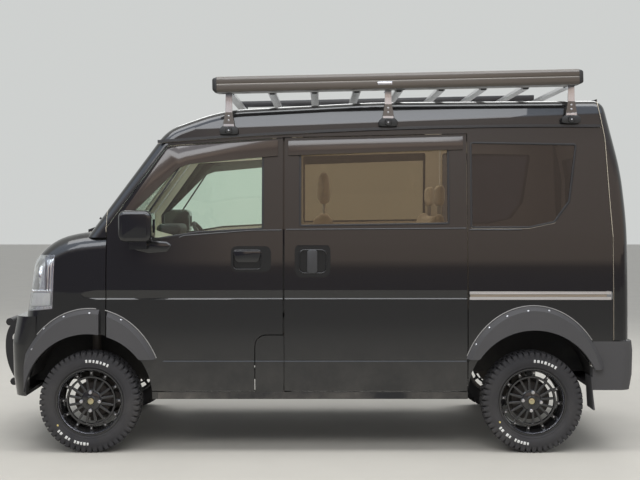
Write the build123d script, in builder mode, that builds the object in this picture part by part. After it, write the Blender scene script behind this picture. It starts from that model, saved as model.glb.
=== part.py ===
"""Kei van on all-terrain tyres, with a roof rack, a side awning, a front guard and wheel-arch flares.

Millimetres.  +X points forward, +Y to the van's left and +Z up.  The ground is Z = 0, and the origin
lies on it under the middle of the van's overall length and width.
"""
import os
from math import cos, radians, sin, sqrt, tan

from build123d import *

os.makedirs("parts", exist_ok=True)

# ------------------------------------------------------------------ driving dimensions
wheelbase = 2430.0
front_overhang = 530.0          # front axle to the foremost point of the guard
rear_overhang = 555.0           # rear axle to the rearmost point of the bumper
track = 1300.0
body_width = 1475.0
sill_z = 296.0                  # underside of the sills
door_bottom_z = 338.0
belt_z = 1224.0                 # lower edge of the side windows
roof_z = 1938.0                 # highest point of the bare roof
roof_front_drop = 50.0          # roof down to where its rounded front ends
gutter_front_drop = 242.0       # roof down to the rain gutter over the windscreen pillar
gutter_middle_drop = 181.0
gutter_rear_drop = 152.0
side_lean = 4.3                 # tumblehome of the windows, degrees
wall = 62.0                     # doors and side walls, outer skin to inner lining
roof_thickness = 34.0
corner_radius = 60.0            # pillars, roof edges and rear corners
shoulder_stand = 73.0           # crease of the roof's shoulder over the gutter line at its front end
shoulder_rise = 1.55            # degrees that the crease rises towards the rear
shoulder_lean = 14.0            # slope of the shoulder from upright, degrees
nose_radius = 105.0             # edges of the bonnet and corners of the nose
panel_gap = 5.0                 # between a door and its frame
glass_thickness = 5.0
glass_inset = 5.0               # glass face behind the skin

# Axles
front_axle_x = (wheelbase + rear_overhang - front_overhang) / 2
rear_axle_x = front_axle_x - wheelbase
guard_tip_x = front_axle_x + front_overhang
bumper_rear_x = rear_axle_x - rear_overhang
half_width = body_width / 2
roof_front_z = roof_z - roof_front_drop
drip_front_z = roof_z - gutter_front_drop
drip_middle_z = roof_z - gutter_middle_drop
drip_rear_z = roof_z - gutter_rear_drop

# Wheels
tyre_radius = 276.0
tyre_width = 156.0
tyre_shoulder = 26.0
rim_radius = 184.0              # lip of the rim
bead_radius = 174.0             # where the tyre sits on the rim
rim_width = 128.0
rim_dish = 46.0                 # lip face to spoke face
hub_radius = 44.0
wheel_y = track / 2
front_house_y = wheel_y - 255.0         # inner wall of the front wheelhouse, clear of the steered wheel
rear_house_y = wheel_y - 210.0
wheel_pcd = 100.0
wheel_nut_count = 4
wheel_nut_radius = 10.0
spindle_radius = 14.0
spindle_clearance = 0.05
steer_offset = 28.0             # kingpin inboard of the wheel's middle

# Arches and flares
front_arch_z = 310.0
front_arch_radius = 346.0
rear_arch_z = 318.0
rear_arch_radius = 358.0
flare_width = 34.0              # how far the flares stand out
front_flare_long = 404.0        # half length of the flare's outline
front_flare_high = 482.0        # height of its outline over the arch's centre
rear_flare_long = 404.0
rear_flare_high = 489.0
flare_end_z = 516.0             # where the flares stop at the sills

# Doors and panels along the van, measured from the axles
door_front_back = 94.0          # front axle back to the front door's leading edge
door_rear_back = 1062.0         # front axle back to the gap between the doors
slide_rear_ahead = 358.0        # rear axle forward to the sliding door's trailing edge
tailgate_gap_back = 438.0       # rear axle back to the tailgate's side gap
tailgate_top_back = 372.0       # rear axle back to the gap between roof and tailgate
tail_back = 528.0               # rear axle back to the tailgate's outer face
tailgate_bottom_z = 618.0
foot_panel_length = 152.0       # fixed panel at the foot of the pillar between the doors
foot_panel_top_z = 645.0

# Windscreen, bonnet and nose, measured from the front axle
screen_base_back = 2.0
screen_base_z = 1209.0
screen_rake = 53.8              # degrees from the level
screen_top_drop = 248.0         # roof down to the windscreen's upper bend
pillar_depth = 74.0             # windscreen line back to the front door's frame
nose_ahead = 358.0              # foremost point of the nose over the bumper
nose_top_ahead = 292.0
bumper_ahead = 438.0
bumper_top_z = 748.0
bonnet_rear_ahead = 52.0
fender_width = 152.5            # body side to the bonnet's edge
bonnet_thickness = 26.0

door_front_x = front_axle_x - door_front_back
door_rear_x = front_axle_x - door_rear_back
slide_rear_x = rear_axle_x + slide_rear_ahead
tailgate_gap_x = rear_axle_x - tailgate_gap_back
tailgate_top_x = rear_axle_x - tailgate_top_back
tail_x = rear_axle_x - tail_back
screen_base_x = front_axle_x - screen_base_back
screen_top_z = roof_z - screen_top_drop
nose_x = front_axle_x + nose_ahead
bumper_front_x = front_axle_x + bumper_ahead
bonnet_half_width = half_width - fender_width
wheel_z = tyre_radius
door_top_drop = 22.0            # door's top edge below the rain gutter


def screen_x(z, back=0.0):
    """Position along the van of the windscreen's outer line at a height, moved back by back."""
    return screen_base_x - (z - screen_base_z) / tan(radians(screen_rake)) - back


def side_y(z):
    """Half width of the body at a height over the belt line, where the side is flat."""
    return belt_y - (z - belt_z) * tan(radians(side_lean))


# The body's side is one arc from under the sill to the belt, tangent to the flat window side over it.
form_bottom_z = sill_z - 100.0          # the forms run lower and are cut off level at the sills
arc_height = belt_z - form_bottom_z
belt_y = half_width - arc_height / 2 * tan(radians(side_lean) / 2)
inner_y = belt_y - wall + 4.0
roof_side_z = roof_z + 60.0


def box_between(x, y, z, mode=Mode.ADD):
    """Upright block between pairs of limits."""
    with Locations(((x[0] + x[1]) / 2, (y[0] + y[1]) / 2, (z[0] + z[1]) / 2)):
        Box(abs(x[1] - x[0]), abs(y[1] - y[0]), abs(z[1] - z[0]), mode=mode)


def side_prism(points, y_from, y_to):
    """Outline drawn in the side view, made solid between two distances from the middle."""
    with BuildPart() as prism:
        with BuildSketch(Plane.XZ.offset(-y_from)):
            with BuildLine():
                Polyline(*points, close=True)
            make_face()
        extrude(amount=y_from - y_to)
    return prism.part


# ------------------------------------------------------------------ body form (not a piece by itself)
form_front_x = front_axle_x + 160.0
lean_down = (sin(radians(side_lean)), -cos(radians(side_lean)))
with BuildSketch() as body_section:
    with BuildLine():
        Polyline((belt_y, belt_z), (side_y(roof_side_z), roof_side_z), (0, roof_side_z), (0, form_bottom_z),
                 (belt_y, form_bottom_z))
        TangentArc((belt_y, belt_z), (belt_y, form_bottom_z), tangent=lean_down)
    make_face()
    mirror(about=Plane.YZ)

# Corners of the upper outline in the side view, each with the radius that rounds it.
upper_outline = [
    (form_front_x, screen_base_z - (form_front_x - screen_base_x) * tan(radians(screen_rake)), 0),
    (screen_x(screen_top_z + 85), screen_top_z + 85, 250),
    (screen_x(screen_top_z) - 366, roof_front_z - 4, 900),
    (screen_x(screen_top_z) - 1206, roof_z - 8, 6000),
    (tailgate_top_x - 33, roof_z, 70),
    (tail_x + 28, belt_z + 316, 1500),
    (tail_x, belt_z + 26, 2500),
    (tail_x, form_bottom_z, 0),
]
outline_points = [(x, z) for x, z, _ in upper_outline]
outline_radii = [radius for _, _, radius in upper_outline[1:-1]]
with BuildSketch() as cabin_outline:
    with BuildLine():
        FilletPolyline(*outline_points, radius=outline_radii)
        Polyline(outline_points[-1], (form_front_x, form_bottom_z), outline_points[0])
    make_face()



def over_shoulder(depth):
    """What lies outside both sloping shoulders of the roof, moved inwards by a depth."""
    with BuildPart() as outside:
        for side in (-1, 1):
            lean = radians(shoulder_lean)
            crease_z = drip_front_z + shoulder_stand
            rise = radians(shoulder_rise)
            face = Plane(origin=(screen_x(drip_front_z), side * side_y(crease_z), crease_z),
                         x_dir=(-cos(rise), 0, sin(rise)),
                         z_dir=(sin(lean) * sin(rise), side * cos(lean), sin(lean) * cos(rise)))
            with Locations(face.offset(-depth)):
                Box(4 * wheelbase, 2 * roof_side_z, half_width, align=(Align.CENTER, Align.CENTER, Align.MIN))
    return outside.part


# The form is made small and then grown with round edges.
shoulder_block = over_shoulder(corner_radius)
shoulder_cavity = over_shoulder(roof_thickness)
with BuildPart() as cabin_core:
    with BuildSketch(Plane.YZ.offset(tail_x - 50)):
        add(body_section.sketch)
        offset(amount=-corner_radius, kind=Kind.INTERSECTION, mode=Mode.REPLACE)
    extrude(amount=form_front_x - tail_x + 50)
    with BuildSketch(Plane.XZ):
        add(cabin_outline.sketch)
        offset(amount=-corner_radius, kind=Kind.INTERSECTION, mode=Mode.REPLACE)
    extrude(amount=half_width, both=True, mode=Mode.INTERSECT)
    add(shoulder_block, mode=Mode.SUBTRACT)

with BuildPart() as cabin_form:
    add(cabin_core.part)
    offset(amount=corner_radius, kind=Kind.ARC)
    box_between((tail_x - 10, front_axle_x + 40), (-half_width - 1, half_width + 1), (sill_z, roof_side_z),
                mode=Mode.INTERSECT)

# Nose: raked front face, under the bonnet's top line.
nose_slope = (nose_ahead - nose_top_ahead) / (screen_base_z - bumper_top_z)
nose_base_x = front_axle_x + nose_ahead + nose_slope * (bumper_top_z - form_bottom_z)
bonnet_outline = [
    (front_axle_x - 260, form_bottom_z, 0),
    (front_axle_x - 260, screen_base_z + 24, 0),
    (front_axle_x + 60, screen_base_z - 6, 600),
    (front_axle_x + 215, screen_base_z - 42, 300),
    (nose_base_x - nose_slope * (screen_base_z - 160 - form_bottom_z), screen_base_z - 160, 130),
    (nose_base_x, form_bottom_z, 0),
]
with BuildSketch() as nose_outline:
    with BuildLine():
        FilletPolyline(*[(x, z) for x, z, _ in bonnet_outline[1:]], radius=[r for _, _, r in bonnet_outline[2:-1]])
        Polyline(*[(x, z) for x, z, _ in (bonnet_outline[-1], bonnet_outline[0], bonnet_outline[1])])
    make_face()

with BuildPart() as nose_core:
    with BuildSketch(Plane.YZ.offset(front_axle_x - 400)):
        add(body_section.sketch)
        offset(amount=-nose_radius, kind=Kind.INTERSECTION, mode=Mode.REPLACE)
    extrude(amount=1200)
    with BuildSketch(Plane.XZ):
        add(nose_outline.sketch)
        offset(amount=-nose_radius, kind=Kind.INTERSECTION, mode=Mode.REPLACE)
    extrude(amount=half_width, both=True, mode=Mode.INTERSECT)

with BuildPart() as nose_form:
    add(nose_core.part)
    offset(amount=nose_radius, kind=Kind.ARC)
    box_between((door_front_x, nose_base_x + 50), (-half_width - 1, half_width + 1), (sill_z, roof_side_z),
                mode=Mode.INTERSECT)


# ------------------------------------------------------------------ cutting shapes shared by the panels
outer_y = half_width + 10.0


def level_slab(inset, thickness, x_limits, z_limits):
    """Plate that follows the flat lean of the left window side, its outer face inset from the skin."""
    z0, z1 = z_limits
    face = [(side_y(z0) - inset, z0), (side_y(z1) - inset, z1)]
    back = [(side_y(z1) - inset - thickness, z1), (side_y(z0) - inset - thickness, z0)]
    with BuildPart() as slab:
        with BuildSketch(Plane.YZ.offset(x_limits[0])):
            with BuildLine():
                Polyline(*face, *back, close=True)
            make_face()
        extrude(amount=x_limits[1] - x_limits[0])
    return slab.part


def arch_tunnel(x, z, radius, y_from, y_to):
    """Cylinder across the van that clears a wheel."""
    with BuildPart() as tunnel:
        with BuildSketch(Plane.XZ.offset(-y_from)):
            with Locations((x, z)):
                Circle(radius)
        extrude(amount=y_from - y_to)
    return tunnel.part


def outline_prism(sketch, y_from, y_to):
    """A closed side-view sketch made solid between two distances from the middle."""
    with BuildPart() as prism:
        with BuildSketch(Plane.XZ.offset(-y_from)):
            add(sketch)
        extrude(amount=y_from - y_to)
    return prism.part


def side_sketch(points):
    """Closed polygon as a sketch."""
    with BuildSketch() as polygon:
        with BuildLine():
            Polyline(*points, close=True)
        make_face()
    return polygon.sketch


def shrunk(sketch, amount):
    """The sketch moved in by amount all round, or out where amount is negative."""
    with BuildSketch() as result:
        add(sketch)
        offset(amount=-amount, kind=Kind.INTERSECTION, mode=Mode.REPLACE)
    return result.sketch


def rounded_outline(points, radius):
    """Closed polygon with all corners rounded."""
    with BuildSketch() as outline:
        with BuildLine():
            Polyline(*points, close=True)
        make_face()
        fillet(outline.vertices(), radius=radius)
    return outline.sketch


# Inner space of the cabin and the load bay
cavity_top_z = roof_z - 70.0
with BuildPart() as cabin_space:
    with BuildSketch(Plane.YZ.offset(tail_x + wall)):
        with BuildLine():
            Polyline((0, form_bottom_z), (inner_y, form_bottom_z), (inner_y, belt_z),
                     (side_y(cavity_top_z) - wall + 4, cavity_top_z), (inner_y - 120, roof_z - roof_thickness),
                     (0, roof_z - roof_thickness + 1), close=True)
        make_face()
        mirror(about=Plane.YZ)
    extrude(amount=form_front_x - tail_x - wall)
    with BuildSketch(Plane.XZ):
        add(cabin_outline.sketch)
        offset(amount=-roof_thickness, kind=Kind.INTERSECTION, mode=Mode.REPLACE)
    extrude(amount=half_width, both=True, mode=Mode.INTERSECT)
    add(shoulder_cavity, mode=Mode.SUBTRACT)

with BuildPart() as cabin_shell:
    add(cabin_form.part)
    add(cabin_space.part, mode=Mode.SUBTRACT)

# Rain gutter line, which parts the roof from the sides
gutter_front_x = screen_x(drip_front_z)
gutter_middle_x = screen_x(drip_middle_z) - 880.0
gutter_rear_x = tailgate_top_x - 10.0
with BuildSketch() as roof_zone:
    with BuildLine():
        ThreePointArc((gutter_front_x, drip_front_z), (gutter_middle_x, drip_middle_z), (gutter_rear_x, drip_rear_z))
        Polyline((gutter_rear_x, drip_rear_z), (tail_x - 20, drip_rear_z), (tail_x - 20, roof_side_z + 20),
                 (form_front_x, roof_side_z + 20), (form_front_x, drip_front_z), (gutter_front_x, drip_front_z))
    make_face()
roof_block = outline_prism(roof_zone.sketch, -outer_y, outer_y)

# Tailgate zone, drawn from the side
gate_gap_line = [
    (tailgate_top_x, roof_side_z),
    (tailgate_top_x, roof_z - 40),
    (tailgate_gap_x + 34, drip_rear_z - 60),
    (tailgate_gap_x + 14, belt_z + 160),
    (tailgate_gap_x, belt_z - 40),
    (tailgate_gap_x, tailgate_bottom_z),
]
gate_block = side_prism([*gate_gap_line, (tail_x - 30, tailgate_bottom_z), (tail_x - 30, roof_side_z)],
                        -outer_y, outer_y)
gate_gap_points = [(x + panel_gap, z) for x, z in gate_gap_line]
gate_clearance = side_prism([*gate_gap_points[:-1], (tailgate_gap_x + panel_gap, tailgate_bottom_z - panel_gap),
                             (tail_x - 30, tailgate_bottom_z - panel_gap), (tail_x - 30, roof_side_z)],
                            -outer_y, outer_y)

# Front door outline
door_top_front_z = drip_front_z - door_top_drop + 8
door_top_front_x = screen_x(door_top_front_z, pillar_depth)
door_top_rear_z = drip_middle_z - door_top_drop - 8
pillar_foot_z = screen_base_z + (screen_base_x - pillar_depth - door_front_x) * tan(radians(screen_rake))
front_door_outline = [
    (door_front_x, door_bottom_z),
    (door_front_x, pillar_foot_z),
    (door_top_front_x, door_top_front_z),
    (door_rear_x, door_top_rear_z),
    (door_rear_x, door_bottom_z),
]
front_door_block = side_prism(front_door_outline, 0, outer_y)
with BuildSketch() as foot_panel:
    with BuildLine():
        Polyline((door_rear_x - 60, foot_panel_top_z), (door_rear_x + foot_panel_length, foot_panel_top_z),
                 (door_rear_x + foot_panel_length, door_bottom_z - 60), (door_rear_x - 60, door_bottom_z - 60),
                 close=True)
    make_face()
    fillet(foot_panel.vertices().group_by(Axis.X)[-1].group_by(Axis.Y)[-1], radius=60)
front_arch = arch_tunnel(front_axle_x, front_arch_z, front_arch_radius, front_house_y, outer_y + 60)
rear_arch = arch_tunnel(rear_axle_x, rear_arch_z, rear_arch_radius, rear_house_y, outer_y + 60)

# Sliding door outline
slide_front_x = door_rear_x - panel_gap
slide_top_z = drip_rear_z - door_top_drop - 14
slide_outline = [
    (slide_front_x, door_bottom_z),
    (slide_front_x, door_top_rear_z + 1),
    (slide_rear_x, slide_top_z),
    (slide_rear_x, door_bottom_z),
]

# Window outlines, from the side
window_rear_x = door_rear_x + 107.0
front_window = [
    (front_axle_x - 190, belt_z - 56),
    (front_axle_x - 382, belt_z - 56),
    (front_axle_x - 600, belt_z - 21),
    (window_rear_x, belt_z - 2),
    (window_rear_x, door_top_rear_z - 58),
    (screen_x(door_top_front_z - 46, pillar_depth + 56), door_top_front_z - 46),
    (front_axle_x - 190, belt_z + 64),
]
slide_window = [
    (slide_front_x - 83, belt_z + 14),
    (slide_front_x - 83, door_top_rear_z - 42),
    (slide_rear_x + 98, slide_top_z - 42),
    (slide_rear_x + 98, belt_z + 26),
]
quarter_window = [
    (slide_rear_x - 16, belt_z + 4),
    (slide_rear_x - 16, slide_top_z - 44),
    (rear_axle_x - 250, slide_top_z - 54),
    (rear_axle_x - 226, belt_z + 290),
    (rear_axle_x - 206, belt_z + 150),
    (rear_axle_x - 120, belt_z + 34),
    (rear_axle_x + 20, belt_z + 4),
]
front_window_block = outline_prism(rounded_outline(front_window, 16), 0, outer_y)
slide_window_block = outline_prism(rounded_outline(slide_window, 14), 0, outer_y)
quarter_window_block = outline_prism(rounded_outline(quarter_window, 18), 0, outer_y)
glass_slab = level_slab(glass_inset, glass_thickness, (tail_x, front_axle_x), (belt_z - 70, drip_rear_z + 20))

# Pressed lines along the sides: a hollow band at lamp height and a groove over the sills
band_top_z = 892.0
band_low_z = 840.0
band_depth = 7.0
band_front_ahead = 46.0                 # of the front axle
groove_z = 506.0
groove_depth = 4.0
band_section = [(half_width - 2.4, band_top_z), (half_width - band_depth - 1.5, band_low_z + 8),
                (half_width, band_low_z), (outer_y, band_low_z), (outer_y, band_top_z)]
groove_section = [(half_width - 2, groove_z + 8), (half_width - 2 - groove_depth, groove_z),
                  (half_width - 2, groove_z - 6), (outer_y, groove_z - 6), (outer_y, groove_z + 8)]


def pressed_line(section, x_from, x_to):
    """Cutting bar along the left side, with its section drawn across the van."""
    with BuildPart() as bar:
        with BuildSketch(Plane.YZ.offset(x_from)):
            with BuildLine():
                Polyline(*section, close=True)
            make_face()
        extrude(amount=x_to - x_from)
    return bar.part


band_front_x = front_axle_x + band_front_ahead
band_middle_z = (band_top_z + band_low_z) / 2
band_outline = [(slide_rear_x - 10, band_low_z - 5), (slide_rear_x - 10, band_top_z + 5),
                (band_front_x - 120, band_top_z + 5), (band_front_x - 22, band_middle_z + 16),
                (band_front_x, band_middle_z), (band_front_x - 22, band_middle_z - 14),
                (band_front_x - 120, band_low_z - 5)]
side_band = (pressed_line(band_section, slide_rear_x - 10, band_front_x)
             & side_prism(band_outline, half_width - 60, outer_y))
side_groove = pressed_line(groove_section, slide_rear_x - 10, front_axle_x - front_arch_radius - 60)


def bowl(x, z, radius, floor_y):
    """Cutting block for a round-cornered hollow in the left side, from its floor outwards."""
    with BuildPart() as block:
        with BuildSketch(Plane.XZ.offset(-floor_y)):
            with Locations(((x[0] + x[1]) / 2, (z[0] + z[1]) / 2)):
                RectangleRounded(x[1] - x[0], z[1] - z[0], radius)
        extrude(amount=floor_y - outer_y)
    return block.part


# Door handles: a shallow pressed field round a deep bowl with a bar over it
handle_skin_y = side_y(belt_z) + 10.0
field_depth = 4.0
bowl_depth = 24.0
front_bowl_x = (door_rear_x + 119.0, door_rear_x + 275.0)
front_bowl_z = (1005.0, 1112.0)
front_field_x = (door_rear_x + 66.0, door_rear_x + 286.0)
front_field_z = (991.0, 1132.0)
slide_bowl_x = (slide_front_x - 232.0, slide_front_x - 82.0)
slide_bowl_z = (983.0, 1113.0)
slide_field_x = (slide_front_x - 254.0, slide_front_x - 58.0)
slide_field_z = (962.0, 1146.0)
front_handle_hollow = (bowl(front_field_x, front_field_z, 34, handle_skin_y - field_depth)
                       + bowl(front_bowl_x, front_bowl_z, 22, handle_skin_y - bowl_depth))
slide_handle_hollow = (bowl(slide_field_x, slide_field_z, 40, handle_skin_y - field_depth)
                       + bowl(slide_bowl_x, slide_bowl_z, 30, handle_skin_y - bowl_depth))

# Windscreen
screen_side = 137.5                     # body side to the windscreen's edge
screen_half_width = half_width - screen_side
screen_glass_base_z = screen_base_z + 26
screen_block = side_prism([(screen_x(screen_glass_base_z, -30), screen_glass_base_z),
                           (screen_x(drip_front_z, -30), drip_front_z), (screen_x(drip_front_z, 90), drip_front_z),
                           (screen_x(screen_glass_base_z, 90), screen_glass_base_z)],
                          -screen_half_width, screen_half_width)

# Front and rear bumper forms, round at the corners
with BuildPart() as front_bumper_core:
    with BuildSketch(Plane.YZ.offset(front_axle_x - 300)):
        add(body_section.sketch)
        offset(amount=-nose_radius, kind=Kind.INTERSECTION, mode=Mode.REPLACE)
    extrude(amount=front_overhang + 300)
    with BuildSketch(Plane.XZ):
        with BuildLine():
            Polyline((front_axle_x - 200, form_bottom_z), (bumper_front_x - 34, form_bottom_z),
                     (bumper_front_x - 4, 420), (bumper_front_x, 600), (bumper_front_x - 52, 900),
                     (front_axle_x - 200, 900), close=True)
        make_face()
        offset(amount=-nose_radius, kind=Kind.INTERSECTION, mode=Mode.REPLACE)
    extrude(amount=half_width, both=True, mode=Mode.INTERSECT)
bumper_back_x = front_axle_x + 288.0
front_bumper_bottom_z = sill_z + 15.0
with BuildPart() as front_bumper_form:
    add(front_bumper_core.part)
    offset(amount=nose_radius, kind=Kind.ARC)
    box_between((bumper_back_x, bumper_front_x + 5), (-outer_y, outer_y), (front_bumper_bottom_z, bumper_top_z),
                mode=Mode.INTERSECT)

rear_bumper_radius = 66.0
rear_bumper_front_x = rear_axle_x - 324.0
rear_bumper_bottom_z = 345.0
with BuildPart() as rear_bumper_core:
    with BuildSketch(Plane.YZ.offset(bumper_rear_x - 20)):
        add(body_section.sketch)
        offset(amount=-rear_bumper_radius, kind=Kind.INTERSECTION, mode=Mode.REPLACE)
    extrude(amount=600)
    with BuildSketch(Plane.XZ):
        with BuildLine():
            Polyline((rear_axle_x, form_bottom_z), (bumper_rear_x + 40, form_bottom_z), (bumper_rear_x + 2, 430),
                     (bumper_rear_x, 560), (bumper_rear_x + 30, 800), (rear_axle_x, 800), close=True)
        make_face()
        offset(amount=-rear_bumper_radius, kind=Kind.INTERSECTION, mode=Mode.REPLACE)
    extrude(amount=half_width, both=True, mode=Mode.INTERSECT)
rear_bumper_top_z = tailgate_bottom_z - 6
with BuildPart() as rear_bumper_form:
    add(rear_bumper_core.part)
    offset(amount=rear_bumper_radius, kind=Kind.ARC)
    box_between((bumper_rear_x - 5, rear_bumper_front_x), (-outer_y, outer_y),
                (rear_bumper_bottom_z, rear_bumper_top_z), mode=Mode.INTERSECT)


# ------------------------------------------------------------------ side frames
lining = wall - 4.0                     # thickness of the window side's frame
post_gap = 8.0                          # post behind the doors to the doors
post_thickness = 34.0
post_x = (door_rear_x - 45.0, door_rear_x + 40.0)


def side_frame_part():
    """Left side of the body: pillars, sill, rear quarter and the post behind the front door."""
    door_hole = outline_prism(shrunk(side_sketch(front_door_outline), -panel_gap / 2), 0, outer_y)
    slide_hole = outline_prism(shrunk(side_sketch(slide_outline), -panel_gap / 2), 0, outer_y)
    foot_block = outline_prism(foot_panel.sketch, 0, outer_y)
    with BuildPart() as frame:
        add(cabin_shell.part)
        box_between((tail_x - 30, door_front_x), (0, outer_y), (sill_z, roof_side_z), mode=Mode.INTERSECT)
        add(roof_block, mode=Mode.SUBTRACT)
        add(gate_clearance, mode=Mode.SUBTRACT)
        add(slide_hole, mode=Mode.SUBTRACT)
        add(door_hole - foot_block, mode=Mode.SUBTRACT)
        add(quarter_window_block, mode=Mode.SUBTRACT)
        add(side_groove, mode=Mode.SUBTRACT)
        add(screen_block, mode=Mode.SUBTRACT)
        add(front_arch, mode=Mode.SUBTRACT)
        add(rear_arch, mode=Mode.SUBTRACT)
        box_between((tail_x - 30, rear_bumper_front_x), (0, outer_y), (sill_z, rear_bumper_top_z),
                    mode=Mode.SUBTRACT)
        box_between(post_x, (inner_y - 42, inner_y - post_gap), (sill_z, belt_z))
        box_between(post_x, (inner_y - 42, inner_y + 20), (sill_z, door_bottom_z - post_gap))
        add(level_slab(lining + post_gap, post_thickness, post_x, (belt_z - 1, drip_middle_z - 18)))
        add(level_slab(lining - 18, post_thickness + 26, post_x, (door_top_rear_z + post_gap, drip_middle_z - 18)))
    return frame.part


with BuildPart() as side_frame_left:
    add(side_frame_part())

with BuildPart() as side_frame_right:
    add(mirror(side_frame_left.part, about=Plane.XZ))

# ------------------------------------------------------------------ roof
with BuildPart() as roof_panel:
    add(cabin_shell.part)
    add(roof_block, mode=Mode.INTERSECT)
    add(gate_clearance, mode=Mode.SUBTRACT)

# ------------------------------------------------------------------ windscreen
with BuildPart() as windscreen:
    with BuildSketch(Plane.XZ.offset(-screen_half_width)):
        with BuildLine():
            Polyline((screen_x(screen_glass_base_z, glass_inset), screen_glass_base_z),
                     (screen_x(drip_front_z, glass_inset), drip_front_z),
                     (screen_x(drip_front_z, glass_inset + glass_thickness + 1), drip_front_z),
                     (screen_x(screen_glass_base_z, glass_inset + glass_thickness + 1), screen_glass_base_z),
                     close=True)
        make_face()
    extrude(amount=screen_half_width * 2)


# ------------------------------------------------------------------ front doors
with BuildPart() as front_door_left:
    add(cabin_shell.part)
    add(outline_prism(shrunk(side_sketch(front_door_outline), panel_gap / 2), 0, outer_y), mode=Mode.INTERSECT)
    add(outline_prism(shrunk(foot_panel.sketch, -panel_gap), 0, outer_y), mode=Mode.SUBTRACT)
    add(front_window_block, mode=Mode.SUBTRACT)
    add(front_arch, mode=Mode.SUBTRACT)
    add(side_band, mode=Mode.SUBTRACT)
    add(side_groove, mode=Mode.SUBTRACT)
    add(front_handle_hollow, mode=Mode.SUBTRACT)

with BuildPart() as front_door_right:
    add(mirror(front_door_left.part, about=Plane.XZ))

with BuildPart() as door_glass_left:
    add(glass_slab)
    add(front_window_block, mode=Mode.INTERSECT)

with BuildPart() as door_glass_right:
    add(mirror(door_glass_left.part, about=Plane.XZ))

# ------------------------------------------------------------------ sliding doors and fixed side glass
with BuildPart() as sliding_door_left:
    add(cabin_shell.part)
    add(outline_prism(shrunk(side_sketch(slide_outline), panel_gap / 2), 0, outer_y), mode=Mode.INTERSECT)
    add(slide_window_block, mode=Mode.SUBTRACT)
    add(side_band, mode=Mode.SUBTRACT)
    add(side_groove, mode=Mode.SUBTRACT)
    add(slide_handle_hollow, mode=Mode.SUBTRACT)

with BuildPart() as sliding_door_right:
    add(mirror(sliding_door_left.part, about=Plane.XZ))

with BuildPart() as rear_side_glass:
    add(glass_slab)
    add(slide_window_block + quarter_window_block, mode=Mode.INTERSECT)
    mirror(about=Plane.XZ)

# ------------------------------------------------------------------ nose: fenders, front panel and firewall
floor_low_z = 430.0
floor_high_z = 650.0
floor_thickness = 25.0
seat_box_front_x = front_axle_x - 800.0
seat_box_rear_x = front_axle_x - 1380.0
seat_box_z = 760.0
firewall_x = front_axle_x + 150.0
firewall_thickness = 22.0
nose_skin = 36.0
lamp_rear_top_x = front_axle_x + 188.0
lamp_rear_low_x = front_axle_x + 198.0
lamp_top_z = 1084.0
lamp_low_front_z = 776.0
lamp_low_rear_z = 790.0
lamp_width = 307.5
lamp_inner_y = half_width - lamp_width
lamp_depth = 70.0
bonnet_rear_x = front_axle_x + bonnet_rear_ahead
bonnet_front_x = front_axle_x + 296.0
bonnet_low_z = 1030.0
# The bonnet's leading edge is cut square to the skin, so the bonnet lifts clear of the nose.
bonnet_side = [(bonnet_rear_x, roof_z), (bonnet_rear_x, bonnet_low_z), (bonnet_front_x - 42, bonnet_low_z),
               (bonnet_front_x + 100, bonnet_low_z + 142), (bonnet_front_x + 100, roof_z)]
bonnet_hole_side = [(bonnet_rear_x - panel_gap, roof_z), (bonnet_rear_x - panel_gap, bonnet_low_z - 1),
                    (bonnet_front_x - 43 + panel_gap * sqrt(2), bonnet_low_z - 1),
                    (bonnet_front_x + 100 + panel_gap * sqrt(2), bonnet_low_z + 142),
                    (bonnet_front_x + 100 + panel_gap * sqrt(2), roof_z)]
bonnet_hole = side_prism(bonnet_hole_side, -bonnet_half_width - panel_gap, bonnet_half_width + panel_gap)
lamp_side = [(lamp_rear_top_x, lamp_top_z), (nose_base_x, lamp_top_z), (nose_base_x, lamp_low_front_z),
             (nose_x - 24, lamp_low_front_z), (lamp_rear_low_x, lamp_low_rear_z)]
lamp_block = side_prism(lamp_side, lamp_inner_y, outer_y)
lamp_clearance = side_prism([(lamp_rear_top_x - panel_gap, lamp_top_z + panel_gap),
                             (nose_base_x, lamp_top_z + panel_gap), (nose_base_x, bonnet_low_z - 50),
                             (lamp_rear_top_x - panel_gap, bonnet_low_z - 50)], lamp_inner_y - panel_gap, outer_y)
nose_inner = outline_prism(shrunk(nose_outline.sketch, nose_skin), -inner_y, inner_y)
bonnet_inner = outline_prism(shrunk(nose_outline.sketch, bonnet_thickness), -outer_y, outer_y)
wheelhouse_wall = 12.0
wheelhouse_front = arch_tunnel(front_axle_x, front_arch_z, front_arch_radius + wheelhouse_wall,
                               front_house_y - wheelhouse_wall, inner_y)
wheelhouse_rear = arch_tunnel(rear_axle_x, rear_arch_z, rear_arch_radius + wheelhouse_wall,
                              rear_house_y - wheelhouse_wall, inner_y)

grille_half_width = lamp_inner_y - 34.0
grille_z = (886.0, 972.0)
# The feet of the windscreen pillars, which stand on the nose.
pillar_zone = side_prism([(door_front_x, screen_base_z - 30), (door_front_x, roof_z), (form_front_x, roof_z),
                          (form_front_x, screen_base_z - 30)], -outer_y, outer_y)
cabin_front = cabin_shell.part & pillar_zone
firewall_plate = side_prism([(firewall_x, floor_low_z), (firewall_x, screen_base_z - 40),
                             (firewall_x + firewall_thickness, screen_base_z - 44),
                             (firewall_x + firewall_thickness, floor_low_z)], -inner_y, inner_y)
firewall_plate = firewall_plate & nose_form.part

door_hole_left = outline_prism(shrunk(side_sketch(front_door_outline), -panel_gap / 2), 0, outer_y)
door_holes = door_hole_left + mirror(door_hole_left, about=Plane.XZ)

with BuildPart() as bonnet:
    add(nose_form.part)
    add(side_prism(bonnet_side, -bonnet_half_width, bonnet_half_width), mode=Mode.INTERSECT)
    add(bonnet_inner, mode=Mode.SUBTRACT)
    add(lamp_clearance + mirror(lamp_clearance, about=Plane.XZ), mode=Mode.SUBTRACT)

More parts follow.
